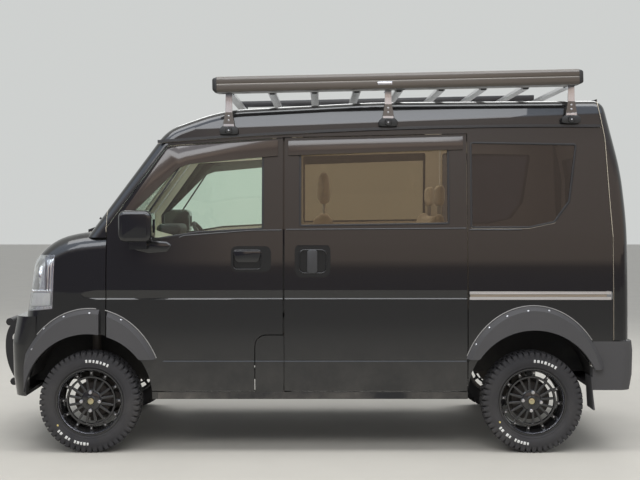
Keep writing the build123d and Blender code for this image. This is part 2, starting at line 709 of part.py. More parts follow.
with BuildPart() as front_body:
    add(nose_form.part)
    add(nose_inner, mode=Mode.SUBTRACT)
    add(cabin_front)
    add(firewall_plate)
    add(wheelhouse_front + mirror(wheelhouse_front, about=Plane.XZ), mode=Mode.SUBTRACT)
    add(front_arch + mirror(front_arch, about=Plane.XZ), mode=Mode.SUBTRACT)
    add(screen_block, mode=Mode.SUBTRACT)
    add(lamp_block + mirror(lamp_block, about=Plane.XZ), mode=Mode.SUBTRACT)
    add(bonnet_hole, mode=Mode.SUBTRACT)
    add(door_holes, mode=Mode.SUBTRACT)
    add(side_band + mirror(side_band, about=Plane.XZ), mode=Mode.SUBTRACT)
    box_between((bumper_back_x, nose_base_x + 10), (-grille_half_width, grille_half_width), grille_z,
                mode=Mode.SUBTRACT)
    box_between((bumper_back_x, nose_base_x + 10), (-outer_y, outer_y), (sill_z - 1, bumper_top_z),
                mode=Mode.SUBTRACT)

with BuildPart() as headlamps:
    add(nose_form.part)
    add(lamp_block, mode=Mode.INTERSECT)
    add(outline_prism(shrunk(nose_outline.sketch, lamp_depth), 0, half_width - lamp_depth), mode=Mode.SUBTRACT)
    mirror(about=Plane.XZ)

# ------------------------------------------------------------------ bumpers and front guard
intake_half_width = lamp_inner_y
intake_z = (392.0, 486.0)
with BuildPart() as front_bumper:
    add(front_bumper_form.part)
    box_between((bumper_back_x - 1, bumper_front_x - 60), (-half_width + 74, half_width - 74),
                (front_bumper_bottom_z + 20, bumper_top_z - 20), mode=Mode.SUBTRACT)
    add(front_arch + mirror(front_arch, about=Plane.XZ), mode=Mode.SUBTRACT)
    box_between((bumper_back_x, bumper_front_x + 5), (-intake_half_width, intake_half_width), intake_z,
                mode=Mode.SUBTRACT)

slat_height = 11.0
slat_count = 3
grille_depth = 20.0
with BuildPart() as grille:
    for half_across, (low_z, high_z), face_x in (
            (grille_half_width, grille_z, nose_x - 35), (intake_half_width, intake_z, bumper_front_x - 40)):
        box_between((face_x - grille_depth, face_x), (-half_across, half_across), (low_z, high_z))
        box_between((face_x - grille_depth - 1, face_x + 1), (-half_across + 14, half_across - 14),
                    (low_z + 8, high_z - 8), mode=Mode.SUBTRACT)
        for index in range(1, slat_count + 1):
            z = low_z + (high_z - low_z) * index / (slat_count + 1)
            box_between((face_x - grille_depth, face_x - 3), (-half_across + 5, half_across - 5),
                        (z - slat_height / 2, z + slat_height / 2))
        for y in (-half_across / 3, half_across / 3):
            box_between((face_x - grille_depth, face_x - 9), (y - 6, y + 6), (low_z + 4, high_z - 4))

tail_lamp_y = (half_width - 267.5, half_width - 82.5)
tail_lamp_z = (474.0, 562.0)
tail_lamp_depth = 36.0
with BuildPart() as tail_lamps:
    add(rear_bumper_form.part)
    box_between((bumper_rear_x - 5, bumper_rear_x + tail_lamp_depth), tail_lamp_y, tail_lamp_z, mode=Mode.INTERSECT)
    mirror(about=Plane.XZ)

with BuildPart() as rear_bumper:
    add(rear_bumper_form.part)
    box_between((bumper_rear_x + 54, rear_bumper_front_x + 1), (-half_width + 70, half_width - 70),
                (rear_bumper_bottom_z + 18, rear_bumper_top_z - 14), mode=Mode.SUBTRACT)
    add(tail_lamps.part, mode=Mode.SUBTRACT)
    box_between((tail_x - 1, rear_bumper_front_x + 1), (-inner_y, inner_y), (rear_bumper_top_z - 15, roof_z),
                mode=Mode.SUBTRACT)

guard_plate_y = half_width - 267.5
guard_plate = 8.0
guard_tube_radius = 21.0
guard_points = [(front_axle_x + 508, 690), (guard_tip_x - 34, 565), (front_axle_x + 484, 350)]
with BuildPart() as front_guard:
    with BuildSketch(Plane.XZ.offset(-guard_plate_y - guard_plate / 2)):
        with BuildLine():
            Polyline((front_axle_x + 400, 722), (front_axle_x + 424, 722))
            Spline((front_axle_x + 424, 722), (front_axle_x + 478, 700), (guard_tip_x - 12, 640), (guard_tip_x, 566),
                   (guard_tip_x - 6, 490), (guard_tip_x - 34, 405), (front_axle_x + 420, 303))
            Polyline((front_axle_x + 420, 303), (front_axle_x + 400, 303), (front_axle_x + 400, 722))
        make_face()
        with Locations((front_axle_x + 462, 600), (front_axle_x + 448, 442)):
            Circle(31, mode=Mode.SUBTRACT)
    extrude(amount=guard_plate)
    mirror(about=Plane.XZ)
    for x, z in guard_points:
        with Locations(Location((x, 0, z), (90, 0, 0))):
            Cylinder(guard_tube_radius, guard_plate_y * 2)
    add(front_bumper_form.part, mode=Mode.SUBTRACT)

# ------------------------------------------------------------------ tailgate
gate_window_z = (belt_z - 90, belt_z + 430)
gate_window_y = half_width - 177.5
with BuildPart() as gate_window_block:
    with BuildSketch(Plane.YZ.offset(tail_x - 20)):
        with BuildLine():
            Polyline((-gate_window_y, gate_window_z[0]), (gate_window_y, gate_window_z[0]),
                     (gate_window_y - 24, gate_window_z[1]), (-gate_window_y + 24, gate_window_z[1]), close=True)
        make_face()
        fillet(vertices(), radius=40)
    extrude(amount=160)

plate_half_width = 190.0
plate_z = (668.0, 800.0)
plate_recess = 12.0
with BuildPart() as tailgate:
    add(cabin_shell.part)
    add(gate_block, mode=Mode.INTERSECT)
    box_between((tail_x - 20, tail_x + plate_recess), (-plate_half_width, plate_half_width), plate_z,
                mode=Mode.SUBTRACT)
    add(gate_window_block.part, mode=Mode.SUBTRACT)

with BuildPart() as tailgate_glass:
    add(outline_prism(shrunk(cabin_outline.sketch, glass_inset), -gate_window_y - 10, gate_window_y + 10))
    add(outline_prism(shrunk(cabin_outline.sketch, glass_inset + glass_thickness), -outer_y, outer_y),
        mode=Mode.SUBTRACT)
    add(gate_window_block.part, mode=Mode.INTERSECT)

gate_bracket_y = half_width - 317.5
with BuildPart() as tailgate_bracket:
    with BuildSketch(Plane.XZ.offset(-gate_bracket_y)):
        with BuildLine():
            Polyline((tailgate_top_x - 8, roof_z - 30), (tailgate_top_x - 14, roof_z + 16),
                     (tailgate_top_x - 54, roof_z + 28), (tailgate_top_x - 66, roof_z - 70), close=True)
        make_face()
    extrude(amount=-4)
    mirror(about=Plane.XZ)
    add(cabin_form.part, mode=Mode.SUBTRACT)

# ------------------------------------------------------------------ floor with wheelhouses
floor_front_x = firewall_x
floor_rear_x = tail_x + wall
over_floor = side_prism([(tail_x, floor_low_z - floor_thickness), (tail_x, roof_z), (nose_base_x, roof_z),
                         (nose_base_x, floor_low_z - floor_thickness)], -outer_y, outer_y)
caps_left = (wheelhouse_front + wheelhouse_rear) & over_floor
wheelhouse_caps = caps_left + mirror(caps_left, about=Plane.XZ)
post_left = Pos(door_rear_x - 2.5, inner_y - 25, 600) * Box(85, 34, 1400)
b_posts = post_left + mirror(post_left, about=Plane.XZ)

with BuildPart() as floor_pan:
    with BuildSketch(Plane.XZ.offset(-inner_y)):
        with BuildLine():
            Polyline((floor_front_x, floor_low_z), (seat_box_front_x, floor_low_z), (seat_box_front_x, seat_box_z),
                     (seat_box_rear_x, seat_box_z), (seat_box_rear_x, floor_high_z), (floor_rear_x, floor_high_z),
                     (floor_rear_x, floor_high_z - floor_thickness),
                     (seat_box_rear_x + floor_thickness, floor_high_z - floor_thickness),
                     (seat_box_rear_x + floor_thickness, seat_box_z - floor_thickness),
                     (seat_box_front_x - floor_thickness, seat_box_z - floor_thickness),
                     (seat_box_front_x - floor_thickness, floor_low_z - floor_thickness),
                     (floor_front_x, floor_low_z - floor_thickness), close=True)
        make_face()
    extrude(amount=2 * inner_y)
    add(wheelhouse_caps)
    add(front_arch + mirror(front_arch, about=Plane.XZ), mode=Mode.SUBTRACT)
    add(rear_arch + mirror(rear_arch, about=Plane.XZ), mode=Mode.SUBTRACT)
    add(b_posts, mode=Mode.SUBTRACT)

# ------------------------------------------------------------------ wheels
with BuildPart() as tyre_form:
    with BuildSketch(Plane.YZ):
        with BuildLine():
            half = tyre_width / 2
            Polyline((-rim_width / 2 + 8, bead_radius), (-rim_width / 2 + 8, rim_radius),
                     (-rim_width / 2 - 2, rim_radius + 2), (-half, bead_radius + 34), (-half, tyre_radius - tyre_shoulder),
                     (-half + 12, tyre_radius - 6), (-half + 24, tyre_radius), (half - 24, tyre_radius),
                     (half - 12, tyre_radius - 6), (half, tyre_radius - tyre_shoulder), (half, bead_radius + 34),
                     (rim_width / 2 + 2, rim_radius + 2), (rim_width / 2 - 8, rim_radius),
                     (rim_width / 2 - 8, bead_radius), close=True)
        make_face()
    revolve(axis=Axis.Y)

rim_spoke_face = rim_width / 2 - rim_dish
window_count = 12
with BuildPart() as rim_form:
    with BuildSketch(Plane.YZ):
        with BuildLine():
            half = rim_width / 2
            Polyline((-half, bead_radius - 12), (half, bead_radius - 12), (half, rim_radius), (half - 8, rim_radius),
                     (half - 8, bead_radius), (-half + 8, bead_radius), (-half + 8, rim_radius), (-half, rim_radius),
                     close=True)
        make_face()
        with BuildLine():
            Polyline((rim_spoke_face - 16, spindle_radius + spindle_clearance),
                     (rim_spoke_face - 16, bead_radius - 10), (rim_spoke_face, bead_radius - 10),
                     (rim_spoke_face, hub_radius + 30), (rim_spoke_face + 14, hub_radius),
                     (rim_spoke_face + 14, spindle_radius + spindle_clearance), close=True)
        make_face()
    revolve(axis=Axis.Y)
    with BuildSketch(Plane.XZ.offset(-rim_spoke_face - 20)):
        with PolarLocations(0, window_count):
            Polygon((62, -9), (146, -31), (146, 31), (62, 9), align=None)
        fillet(vertices(), radius=4)
    extrude(amount=60, mode=Mode.SUBTRACT)

wheel_spots = {
    "front_left": (front_axle_x, wheel_y, 1),
    "front_right": (front_axle_x, -wheel_y, -1),
    "rear_left": (rear_axle_x, wheel_y, 1),
    "rear_right": (rear_axle_x, -wheel_y, -1),
}
wheel_pieces = {}
for spot, (x, y, side) in wheel_spots.items():
    turn = 0 if side > 0 else 180
    with BuildPart() as rim:
        add(Location((x, y, wheel_z), (0, 0, turn)) * rim_form.part)
    with BuildPart() as tyre:
        add(Location((x, y, wheel_z), (0, 0, turn)) * tyre_form.part)
    wheel_pieces[f"rim_{spot}"] = rim
    wheel_pieces[f"tyre_{spot}"] = tyre

# ------------------------------------------------------------------ front knuckles
knuckle_y = wheel_y - rim_width / 2 + 6
backplate_radius = 96.0
arm_gap = 12.0                          # between the lower arm and what turns over it
arm_top_z = wheel_z - backplate_radius - arm_gap
spindle_end_y = wheel_y + rim_spoke_face + 14
with BuildPart() as knuckle_left:
    with Locations(Location((front_axle_x, knuckle_y, wheel_z), (90, 0, 0))):
        Cylinder(backplate_radius, 10)
    with Locations(Location((front_axle_x, (knuckle_y - 25 + spindle_end_y) / 2, wheel_z), (90, 0, 0))):
        Cylinder(spindle_radius, spindle_end_y - knuckle_y + 25)
    with Locations(Location((front_axle_x, knuckle_y + 22, wheel_z), (90, 0, 0))):
        Cylinder(62, 40)
    box_between((front_axle_x - 26, front_axle_x + 26), (knuckle_y - 25, knuckle_y), (wheel_z - 84, wheel_z + 96))
    box_between((front_axle_x - 150, front_axle_x - 70), (knuckle_y - 24, knuckle_y + 24), (wheel_z - 34, wheel_z + 40))

with BuildPart() as knuckle_right:
    add(mirror(knuckle_left.part, about=Plane.XZ))

# ------------------------------------------------------------------ frame under the floor
rail_y = wheel_y - 320.0
rail_width = 56.0
rail_low_z = 345.0
rail_front_top_z = floor_low_z - floor_thickness
rail_rear_low_z = 552.0
rail_rear_top_z = floor_high_z - floor_thickness
rail_rise_x = seat_box_rear_x - 60.0
member_xs = [front_axle_x - 520.0, seat_box_front_x - 60.0, seat_box_rear_x + 90.0]
rear_member_xs = [rear_axle_x + 480.0, rear_axle_x - 260.0]
engine_x = (seat_box_rear_x + 70.0, seat_box_front_x - 40.0)
engine_half_width = 190.0
engine_top_z = seat_box_z - floor_thickness - 30.0
with BuildPart() as chassis_frame:
    with BuildSketch(Plane.XZ.offset(-rail_y - rail_width / 2)):
        with BuildLine():
            Polyline((bumper_back_x - 30, rail_low_z), (bumper_back_x - 30, rail_front_top_z),
                     (rail_rise_x, rail_front_top_z), (rail_rise_x - 120, rail_rear_top_z),
                     (floor_rear_x, rail_rear_top_z), (floor_rear_x, rail_rear_low_z),
                     (rail_rise_x - 90, rail_rear_low_z), (rail_rise_x, rail_low_z), close=True)
        make_face()
    extrude(amount=rail_width)
    mirror(about=Plane.XZ)
    for x in member_xs:
        box_between((x - 30, x + 30), (-rail_y, rail_y), (rail_low_z + 4, rail_front_top_z - 6))
    for x in rear_member_xs:
        box_between((x - 30, x + 30), (-rail_y, rail_y), (rail_rear_low_z + 4, rail_rear_top_z))
    box_between((bumper_back_x - 30, bumper_front_x - 60), (-rail_y - 60, rail_y + 60), (rail_low_z, rail_front_top_z))

with BuildPart() as engine:
    box_between(engine_x, (-engine_half_width, engine_half_width), (rail_front_top_z - 6, engine_top_z))

tank_x = (rear_axle_x + 330.0, rear_axle_x + 700.0)
with BuildPart() as fuel_tank:
    box_between(tank_x, (-rail_y + 40, 40), (rail_low_z - 10, rail_rear_low_z + 4))

exhaust_y = 190.0
exhaust_z = 470.0
muffler_radius = 70.0
pipe_radius = 22.0
with BuildPart() as exhaust:
    with BuildLine():
        FilletPolyline((engine_x[0], exhaust_y - 60, exhaust_z), (engine_x[0] - 110, exhaust_y - 60, exhaust_z),
                       (engine_x[0] - 200, exhaust_y, exhaust_z), (rear_axle_x - 220, exhaust_y, exhaust_z),
                       (rear_axle_x - 290, exhaust_y, exhaust_z - 150), radius=60)
    with BuildSketch(Plane(origin=(engine_x[0], exhaust_y - 60, exhaust_z), z_dir=(-1, 0, 0))):
        Circle(pipe_radius)
    sweep()
    with Locations(Location((rear_axle_x + 470, exhaust_y, exhaust_z), (0, 90, 0))):
        Cylinder(muffler_radius, 400)

# ------------------------------------------------------------------ axles and suspension
axle_tube_radius = 36.0
axle_end_y = wheel_y - rim_width / 2 + 4
with BuildPart() as rear_axle:
    with Locations(Location((rear_axle_x, 0, wheel_z), (90, 0, 0))):
        Cylinder(axle_tube_radius, axle_end_y * 2)
        Cylinder(spindle_radius, spindle_end_y * 2)
    with Locations(Location((rear_axle_x, axle_end_y - 6, wheel_z), (90, 0, 0)),
                   Location((rear_axle_x, -axle_end_y + 6, wheel_z), (90, 0, 0))):
        Cylinder(116, 22)
    for side in (-1, 1):
        with Locations((rear_axle_x + 10, side * rail_y, (wheel_z + rail_rear_low_z) / 2)):
            Cylinder(46, rail_rear_low_z - wheel_z)
    with BuildSketch(Plane.XZ.offset(-rail_y - 18)):
        with BuildLine():
            Polyline((rear_axle_x, wheel_z - 28), (rear_axle_x, wheel_z + 20), (rear_axle_x + 430, rail_rear_low_z),
                     (rear_axle_x + 490, rail_rear_low_z), (rear_axle_x + 490, rail_rear_low_z - 50), close=True)
        make_face()
    extrude(amount=36)
    mirror(about=Plane.XZ)
    with Locations((rear_axle_x, -60, wheel_z)):
        Sphere(104)

strut_y = wheel_y - steer_offset - 108.0
arm_thickness = 18.0
with BuildPart() as front_suspension:
    box_between((front_axle_x - 60, front_axle_x + 60), (-rail_y + rail_width / 2, rail_y - rail_width / 2),
                (rail_low_z - 70, rail_low_z))
    for side in (-1, 1):
        with BuildSketch(Plane.XY.offset(arm_top_z - arm_thickness)):
            with BuildLine():
                Polyline((front_axle_x + 110, side * (rail_y - rail_width / 2)),
                         (front_axle_x + 20, side * (knuckle_y - 6)), (front_axle_x - 20, side * (knuckle_y - 6)),
                         (front_axle_x - 110, side * (rail_y - rail_width / 2)), close=True)
            make_face()
        extrude(amount=arm_thickness)
        box_between((front_axle_x - 110, front_axle_x + 110),
                    (side * (rail_y - rail_width / 2), side * (rail_y - rail_width / 2 - 24)),
                    (arm_top_z - arm_thickness, rail_low_z))
        with Locations((front_axle_x, side * strut_y, (wheel_z + 60 + front_arch_z + front_arch_radius) / 2)):
            Cylinder(24, front_arch_z + front_arch_radius - wheel_z - 62)
        box_between((front_axle_x - 20, front_axle_x + 20), (side * (rail_y + rail_width / 2), side * strut_y),
                    (rail_low_z + 10, rail_low_z + 40))

# ------------------------------------------------------------------ dashboard, seats and steering wheel
seat_y = half_width - 387.5
driver_y = -seat_y
wheel_hub_x = front_axle_x - 560.0
wheel_hub_z = 1100.0
column_lean = 35.0              # steering column's angle from the level
shaft_radius = 12.0
shaft_depth = 60.0              # of the wheel's shaft inside the column
column_dir = (-cos(radians(column_lean)), 0, sin(radians(column_lean)))
steering_plane = Plane(origin=(wheel_hub_x, driver_y, wheel_hub_z), x_dir=(0, 1, 0), z_dir=column_dir)
hub_depth = 28.0
column_gap = 6.0                # between the wheel's hub and the column
with BuildPart() as column_form:
    with BuildSketch(steering_plane.offset(-hub_depth - column_gap)):
        Circle(30)
    extrude(amount=-300)
    with BuildSketch(steering_plane.offset(-hub_depth)):
        Circle(shaft_radius + spindle_clearance)
    extrude(amount=-shaft_depth - 6, mode=Mode.SUBTRACT)
steering_column = column_form.part

seat_width = 480.0
seat_x = front_axle_x - 1080.0
with BuildPart() as seat_block:
    with BuildSketch(Plane.XZ.offset(-seat_y - seat_width / 2)):
        with BuildLine():
            Polyline((seat_x - 210, seat_box_z), (seat_x + 270, seat_box_z), (seat_x + 285, seat_box_z + 130),
                     (seat_x - 80, seat_box_z + 110), (seat_x - 175, seat_box_z + 590),
                     (seat_x - 262, seat_box_z + 590), (seat_x - 235, seat_box_z + 120), close=True)
        make_face()
        fillet(vertices().group_by(Axis.Y)[-1], radius=34)
    extrude(amount=seat_width)
    box_between((seat_x - 245, seat_x - 170), (seat_y - 125, seat_y + 125), (seat_box_z + 575, seat_box_z + 815))
seat_form = seat_block.part

with BuildPart() as dashboard:
    with BuildSketch(Plane.XZ.offset(-inner_y + 6)):
        with BuildLine():
            Polyline((firewall_x, screen_base_z - 120), (front_axle_x - 60, screen_base_z - 34),
                     (front_axle_x - 220, screen_base_z - 10), (front_axle_x - 330, screen_base_z - 40),
                     (front_axle_x - 370, screen_base_z - 150), (front_axle_x - 320, screen_base_z - 320),
                     (front_axle_x - 60, screen_base_z - 360), (firewall_x, screen_base_z - 360), close=True)
        make_face()
    extrude(amount=2 * inner_y - 12)
    add(front_body.part, mode=Mode.SUBTRACT)
    add(steering_column)

with BuildPart() as front_seats:
    add(seat_form)
    mirror(about=Plane.XZ)

bench_half_width = half_width - 217.5
with BuildPart() as rear_seat:
    with BuildSketch(Plane.XZ.offset(-bench_half_width)):
        with BuildLine():
            Polyline((rear_axle_x + 1000, floor_high_z), (rear_axle_x + 1010, floor_high_z + 230),
                     (rear_axle_x + 620, floor_high_z + 240), (rear_axle_x + 500, floor_high_z + 700),
                     (rear_axle_x + 425, floor_high_z + 700), (rear_axle_x + 500, floor_high_z), close=True)
        make_face()
        fillet(vertices().group_by(Axis.Y)[-1], radius=30)
    extrude(amount=2 * bench_half_width)
    for y in (-bench_half_width + 230, bench_half_width - 230):
        box_between((rear_axle_x + 432, rear_axle_x + 500), (y - 120, y + 120),
                    (floor_high_z + 690, floor_high_z + 840))

wheel_ring_radius = 178.0
with BuildPart() as steering_wheel:
    with BuildSketch(steering_plane):
        Circle(36)
    extrude(amount=-hub_depth)
    with BuildSketch(steering_plane.offset(-hub_depth + 1)):
        Circle(shaft_radius)
    extrude(amount=-shaft_depth)
    with BuildSketch(steering_plane.offset(-18)):
        with PolarLocations(0, 3, start_angle=90):
            with Locations((wheel_ring_radius / 2 + 12, 0)):
                Rectangle(wheel_ring_radius - 20, 26)
    extrude(amount=10)
    with Locations(steering_plane.offset(-13)):
        Torus(wheel_ring_radius, 13)

# ------------------------------------------------------------------ arch flares and flaps
flare_root_y = half_width - 24.0


def flare_form(x, z, long, high):
    """Flare over a left wheel arch before its opening is cut, tapering outwards."""
    with BuildPart() as form:
        with BuildSketch(Plane.XZ.offset(-flare_root_y)):
            with Locations((x, z)):
                Ellipse(long + 12, high + 12)
        with BuildSketch(Plane.XZ.offset(-half_width - flare_width)):
            with Locations((x, z)):
                Ellipse(long - 26, high - 26)
        loft()
    return form.part


front_flare_block = flare_form(front_axle_x - 6, front_arch_z, front_flare_long, front_flare_high)
rear_flare_block = flare_form(rear_axle_x, rear_arch_z, rear_flare_long, rear_flare_high)
flare_gap_front_x = door_front_x + 35.0
with BuildPart() as front_flare_whole:
    add(front_flare_block)
    add(front_arch, mode=Mode.SUBTRACT)
    box_between((front_axle_x - 600, front_axle_x), (0, outer_y + 60), (-400, flare_end_z), mode=Mode.SUBTRACT)
    box_between((front_axle_x, front_axle_x + 600), (0, outer_y + 60), (-400, front_bumper_bottom_z), mode=Mode.SUBTRACT)
    box_between((front_axle_x + 345, front_axle_x + 600), (0, outer_y + 60), (0, roof_z), mode=Mode.SUBTRACT)
    add(cabin_form.part, mode=Mode.SUBTRACT)
    add(nose_form.part, mode=Mode.SUBTRACT)
    add(front_bumper_form.part, mode=Mode.SUBTRACT)

with BuildPart() as rear_flare_whole:
    add(rear_flare_block)
    add(rear_arch, mode=Mode.SUBTRACT)
    box_between((rear_axle_x, rear_axle_x + 600), (0, outer_y + 60), (-400, flare_end_z), mode=Mode.SUBTRACT)
    box_between((rear_axle_x - 600, rear_axle_x), (0, outer_y + 60), (-400, rear_bumper_top_z - 150),
                mode=Mode.SUBTRACT)
    add(cabin_form.part, mode=Mode.SUBTRACT)
    add(rear_bumper_form.part, mode=Mode.SUBTRACT)

with BuildPart() as wheel_flares:
    add(front_flare_whole.part)
    box_between((front_axle_x - 700, flare_gap_front_x), (0, outer_y + 60), (0, roof_z), mode=Mode.SUBTRACT)
    add(rear_flare_whole.part)
    mirror(about=Plane.XZ)

with BuildPart() as mudflaps:
    with BuildSketch(Plane.XZ.offset(-half_width + 140)):
        with BuildLine():
            Polyline((rear_bumper_front_x, 416), (rear_bumper_front_x + 8, 416), (rear_bumper_front_x - 2, 236),
                     (rear_bumper_front_x - 12, 236), (rear_bumper_front_x, 338), close=True)
        make_face()
    extrude(amount=-136)
    mirror(about=Plane.XZ)

# ------------------------------------------------------------------ door mirrors, visors and handles
visor_stand = 16.0
front_visor_outline = [
    (front_axle_x - 172, belt_z + 72),
    (screen_x(door_top_front_z - 20, pillar_depth + 14), door_top_front_z - 20),
    (screen_x(door_top_front_z - 20, pillar_depth + 70), door_top_front_z - 4),
    (door_rear_x + 30, door_top_rear_z - 12),
    (door_rear_x + 30, door_top_rear_z - 100),
    (front_axle_x - 545, door_top_front_z - 100),
    (front_axle_x - 487, door_top_front_z - 122),
    (front_axle_x - 240, belt_z + 90),
]
slide_visor_outline = [
    (slide_front_x - 22, door_top_rear_z - 16),
    (slide_rear_x + 22, slide_top_z - 14),
    (slide_rear_x + 22, slide_top_z - 88),
    (slide_front_x - 22, door_top_rear_z - 98),
]
visor_slab = level_slab(-visor_stand, visor_stand, (slide_rear_x, front_axle_x), (belt_z + 40, drip_rear_z))
mirror_x = front_axle_x - 285.0
mirror_y = side_y(belt_z) + 112.0
mirror_z = belt_z + 20.0
front_visor = visor_slab & side_prism(front_visor_outline, 0, outer_y + 60)
slide_visor = visor_slab & side_prism(slide_visor_outline, 0, outer_y + 60)
door_flare = front_flare_whole.part & side_prism([(front_axle_x - 700, 0), (front_axle_x - 700, roof_z),
                                                  (door_front_x - 10, roof_z), (door_front_x - 10, 0)],
                                                 0, outer_y + 60)
with BuildPart() as door_fittings_left:
    box_between((mirror_x - 84, mirror_x + 94), (mirror_y - 84, mirror_y + 84), (mirror_z - 84, mirror_z + 84))
    fillet(edges().filter_by(Axis.Y), radius=38)
    fillet(faces().sort_by(Axis.X)[-1].edges(), radius=24)
    box_between((mirror_x - 36, mirror_x + 60), (side_y(belt_z) - 30, mirror_y - 60), (mirror_z - 128, mirror_z - 72))
    add(cabin_form.part, mode=Mode.SUBTRACT)
    add(door_flare)
    add(front_visor)
    box_between(front_bowl_x, (handle_skin_y - 10, handle_skin_y + 6), (front_bowl_z[1] - 64, front_bowl_z[1] - 23))

with BuildPart() as door_fittings_right:
    add(mirror(door_fittings_left.part, about=Plane.XZ))

with BuildPart() as slide_door_trim:
    add(slide_visor)
    add(cabin_form.part, mode=Mode.SUBTRACT)
    slide_handle_x = sum(slide_bowl_x) / 2
    box_between((slide_handle_x - 29, slide_handle_x + 29), (handle_skin_y - 10, handle_skin_y + 8), slide_bowl_z)
    mirror(about=Plane.XZ)

with BuildPart() as slide_rails:
    for z in (840, 870):
        box_between((tailgate_gap_x + 16, slide_rear_x - 8), (half_width - 30, half_width + 5), (z, z + 15))
    add(cabin_form.part, mode=Mode.SUBTRACT)
    mirror(about=Plane.XZ)

# ------------------------------------------------------------------ rain gutters, rack and awning
gutter_stand = 14.0
gutter_height = 15.0
with BuildSketch() as gutter_line:
    with BuildLine():
        lower = ThreePointArc((gutter_front_x - 12, drip_front_z + 3), (gutter_middle_x, drip_middle_z),
                              (gutter_rear_x + 4, drip_rear_z))
        Line(lower @ 1, (gutter_rear_x + 4, drip_rear_z + gutter_height))
        ThreePointArc((gutter_rear_x + 4, drip_rear_z + gutter_height), (gutter_middle_x, drip_middle_z + gutter_height),
                      (gutter_front_x - 12, drip_front_z + 3 + gutter_height))
        Line((gutter_front_x - 12, drip_front_z + 3 + gutter_height), lower @ 0)
    make_face()
gutter_slab = level_slab(-gutter_stand, gutter_stand, (tail_x, front_axle_x), (drip_front_z - 40, drip_rear_z + 60))
gutter_left = gutter_slab & outline_prism(gutter_line.sketch, 0, outer_y)
with BuildPart() as rain_gutters:
    add(gutter_left)
    add(cabin_form.part, mode=Mode.SUBTRACT)
    mirror(about=Plane.XZ)

leg_xs = [front_axle_x - 763.0, front_axle_x - 1638.0, rear_axle_x - 213.0]
rack_middle_x = (leg_xs[0] + leg_xs[-1]) / 2
rack_rise = 1.25                # degrees that the rack and awning rise towards the rear
rack_stand = 52.0               # bare roof to the underside of the crossbars, halfway along
rack_z = roof_z + rack_stand
rack_rail_y = side_y(roof_z) - 42.5
rack_rail = (30.0, 40.0)
rail_stand = 30.0               # side rails over the crossbars
rail_post = (28.0, 24.0)        # under the side rails, outside the crossbars' ends
leg_plate = 5.0
leg_width = 36.0
leg_y = side_y(drip_front_z) + gutter_stand + 2.0
crossbar_count = 9
crossbar = (44.0, 16.0)
crossbar_pitch = (leg_xs[0] - leg_xs[-1]) / (crossbar_count - 1)
crossbar_xs = [leg_xs[-1] + index * crossbar_pitch for index in range(crossbar_count)]


def gutter_top(x):
    """Height of the rain gutter's top at a place along the van, between its middle and its ends."""
    share = (gutter_front_x - x) / (gutter_front_x - gutter_rear_x)
    rise = drip_rear_z - drip_front_z
    bow = drip_middle_z - drip_front_z - rise * (gutter_front_x - gutter_middle_x) / (gutter_front_x - gutter_rear_x)
    return drip_front_z + rise * share + 4 * bow * share * (1 - share) + gutter_height + 3


def rack_height(x):
    """Height of the crossbars' underside at a place along the van."""
    return rack_z + (rack_middle_x - x) * tan(radians(rack_rise))


rail_front_x = leg_xs[0] + 60.0
rail_rear_x = leg_xs[-1] - 60.0
rail_lift = crossbar[1] + rail_stand
rail_outline = [(rail_front_x, rack_height(rail_front_x) + rail_lift),
                (rail_rear_x, rack_height(rail_rear_x) + rail_lift),
                (rail_rear_x, rack_height(rail_rear_x) + rail_lift + rack_rail[1]),
                (rail_front_x, rack_height(rail_front_x) + rail_lift + rack_rail[1])]
with BuildPart() as roof_rack:
    for side in (-1, 1):
        add(side_prism(rail_outline, side * (rack_rail_y - rack_rail[0] / 2), side * (rack_rail_y + rack_rail[0] / 2)))
        for x in (*crossbar_xs, leg_xs[1]):
            box_between((x - rail_post[0] / 2, x + rail_post[0] / 2),
                        (side * (rack_rail_y - rail_post[1] / 2), side * (rack_rail_y + rail_post[1] / 2)),
                        (rack_height(x) - 4, rack_height(x) + rail_lift + 8))
        for x in leg_xs:
            box_between((x - leg_width / 2, x + leg_width / 2), (side * leg_y, side * (leg_y + leg_plate)),
                        (gutter_top(x) + 10, rack_height(x) - 2))
            box_between((x - leg_width / 2, x + leg_width / 2), (side * (rack_rail_y - 40), side * (leg_y + leg_plate)),
                        (rack_height(x) - 8, rack_height(x)))
            box_between((x - 52, x + 52), (side * (leg_y - 26), side * (leg_y + 12)),
                        (gutter_top(x), gutter_top(x) + 46))
    add(cabin_form.part, mode=Mode.SUBTRACT)
    add(rain_gutters.part, mode=Mode.SUBTRACT)

with BuildPart() as rack_crossbars:
    for x in crossbar_xs:
        box_between((x - crossbar[0] / 2, x + crossbar[0] / 2),
                    (-rack_rail_y + rail_post[1] / 2, rack_rail_y - rail_post[1] / 2),
                    (rack_height(x), rack_height(x) + crossbar[1]))

awning_front_x = front_axle_x - 682.5
awning_length = 2000.0
awning_inner_y = leg_y + leg_plate
awning_depth = 128.0
awning_height = 82.0
awning_drop = 3.5               # its underside below the crossbars'
awning_middle_x = awning_front_x - awning_length / 2
awning_middle_z = rack_height(awning_middle_x) - awning_drop + awning_height / 2
with BuildPart() as awning:
    with Locations(Location((awning_middle_x, awning_inner_y + awning_depth / 2, awning_middle_z), (0, rack_rise, 0))):
        Box(awning_length, awning_depth, awning_height)
    fillet(edges().filter_by(Axis.Y, reverse=True).filter_by(lambda edge: edge.length > awning_length - 1), radius=14)

